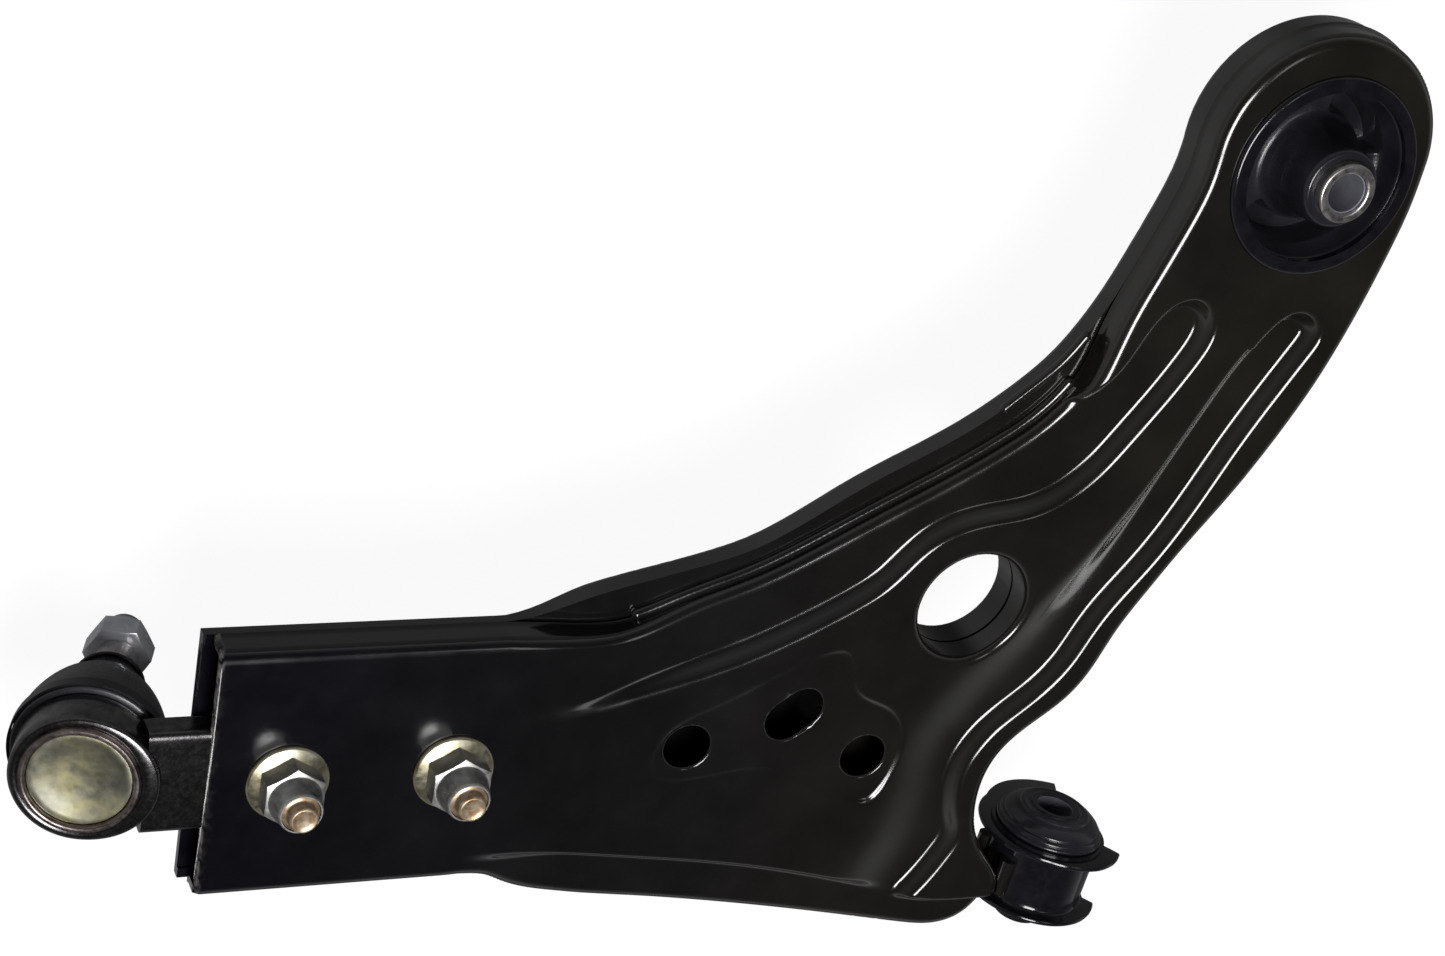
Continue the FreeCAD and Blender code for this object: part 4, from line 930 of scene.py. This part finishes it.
REAR_SLEEVE_ROWS = eased([(10, -25.8), (10, 25.5), (9.8, 26.1), (9.4, 26.4), (7.6, 26.4), (7.0, 26.1),
                          (6.7, 25.4)], 0.5) + [(6.7, -25.4), (7.2, -26.4), (9.6, -26.4), (10, -25.8)]
REAR_BORE_ROWS = [(6.7, -25.4), (6.4, -25.2), (6.4, 25.1), (6.7, 25.4)]
put(lathe("rear_sleeve_wall", REAR_SLEEVE_ROWS, AT_REAR), BRIGHT, "rear_sleeve", "rear_bush_inner_sleeve")
# The rear bore's paler steel is painted light.
put(lathe("rear_sleeve_bore", REAR_BORE_ROWS, AT_REAR), PAINTED_LIT_BORE, "rear_sleeve", "rear_bush_inner_sleeve")


# ---------------------------------------------------------------- welds

WELD_STEP, WELD_RIPPLE, WELD_PITCH = 0.32, 0.004, 1.9


def weld(name, path, height, rad):
    """A bead along a plan path: rounded off at both ends, and almost smooth."""
    path = resample(path, WELD_STEP)
    side = leftward(path)
    run = WELD_STEP * np.arange(len(path))
    taper = np.sqrt(np.clip(np.minimum(run, run[-1] - run) / 1.5, 0.02, 1))
    scales = np.abs(np.sin(math.pi * run / WELD_PITCH + 0.5 * np.sin(run / 7)))
    swell = rad * taper * (1 - WELD_RIPPLE + WELD_RIPPLE * scales)
    rows = []
    for a in np.linspace(0, 2 * math.pi, 14, endpoint=False):
        bulge = side * (swell * math.cos(a))[:, None]
        rows.append(np.column_stack([path + bulge, height + swell * math.sin(a)]))
    points = np.stack(rows, 1)
    mesh = new_mesh(name, points.reshape(-1, 3), ring_faces(*points.shape[:2]))
    tidy(mesh, 60)
    return add(name, mesh)


ledge = spline(TOP_EDGE)
ledge = ledge[(ledge[:, 0] > -172) & (ledge[:, 1] < 189)]
put(weld("ledge_weld", ledge + leftward(ledge) * 1.3, 0.6, 2.1), PAINT, "arm", "ledge_weld_bead")
put(weld("ledge_end_weld", spline([(-57, 177), (-47, 186.2), (-38.5, 194.6), (-31.5, 205)]), -0.1, 1.7),
    PAINT, "arm", "ledge_end_weld_bead")

put(stamped_sheet(), PAINT, "arm", "front_shell")


# ---------------------------------------------------------------- floor, light, camera

# The camera sees an even, nearly white floor, while the arm gets little light from it, most from one side.
floor_material, tree, surface = shader("pale_floor")
surface.inputs["Base Color"].default_value = (0.08, 0.08, 0.08, 1)
surface.inputs["Roughness"].default_value = 0.9
surface.inputs["Specular IOR Level"].default_value = 0.1
surface.inputs["Emission Color"].default_value = (1, 1, 1, 1)
sideways = component(tree, node(tree, "ShaderNodeNewGeometry").outputs["Incoming"], "X")
thrown = rescaled(tree, sideways, -0.2, 0.2, 0.05, 0.2)
seen = rescaled(tree, node(tree, "ShaderNodeLightPath").outputs["Is Camera Ray"], 0, 1, 0, 0.94)
tree.links.new(thrown.outputs["Result"], seen.inputs["To Min"])
tree.links.new(seen.outputs["Result"], surface.inputs["Emission Strength"])
FLOOR_HALF = 6.0
floor_mesh = bpy.data.meshes.new("floor")
floor_mesh.from_pydata([(FLOOR_HALF * x, FLOOR_HALF * y, 0) for x, y in ((-1, -1), (1, -1), (1, 1), (-1, 1))],
                       [], [(0, 1, 2, 3)])
floor = add("floor", floor_mesh, floor_material)
floor.location.z = START[0].z - 0.001


def area_light(name, where, towards, width, depth, power):
    """A rectangular light that faces a point; sizes in metres, power in watts."""
    data = bpy.data.lights.new(name, "AREA")
    data.shape, data.size, data.size_y, data.energy = "RECTANGLE", width, depth, power
    obj = bpy.data.objects.new(name, data)
    bpy.context.scene.collection.objects.link(obj)
    obj.location = where
    obj.rotation_euler = (Vector(towards) - Vector(where)).to_track_quat("-Z", "Y").to_euler()


MIDDLE = Vector((-0.13, 0.14, 0.0))
LIGHT_DISTANCE = 1.5
area_light("overhead", MIDDLE + Vector((-0.16, 0.01, 0.98)) * LIGHT_DISTANCE, MIDDLE, 0.75, 0.55, 26)
area_light("strip", MIDDLE + Vector((0.36, 0.2, 0.91)) * LIGHT_DISTANCE, MIDDLE, 0.4, 0.22, 0.6)

# The surroundings are brightest at the horizon and nearly black overhead.
world = bpy.data.worlds.new("studio")
bpy.context.scene.world = world
world.use_nodes = True
tree = world.node_tree
upward = component(tree, node(tree, "ShaderNodeTexCoord").outputs["Generated"], "Z")
shade = spread(tree, upward, [(0.0, grey(0.5)), (0.2, grey(0.26)), (0.5, grey(0.07)), (0.7, grey(0.03))])
tree.links.new(shade, tree.nodes["Background"].inputs["Color"])
tree.nodes["Background"].inputs["Strength"].default_value = 1.0

# The camera's place and its own X and Z axes, solved from the circles on the arm's flat face.
CAMERA_AT = Vector((-0.5181, 0.5597, 0.7379))
RIGHTWARD = Vector((0.916, 0.172, 0.363)).normalized()
back = -Vector((0.401, -0.440, -0.803)).normalized()
up = back.cross(RIGHTWARD).normalized()
right = up.cross(back).normalized()
camera_data = bpy.data.cameras.new("camera")
camera_data.sensor_width = 36
camera_data.lens = 74.05
camera_data.clip_start = 0.05
camera_data.clip_end = 30
camera = bpy.data.objects.new("camera", camera_data)
bpy.context.scene.collection.objects.link(camera)
camera.matrix_world = Matrix.Translation(CAMERA_AT) @ Matrix((right, up, back)).transposed().to_4x4()
bpy.context.scene.camera = camera
bpy.context.scene.view_settings.view_transform = "Standard"
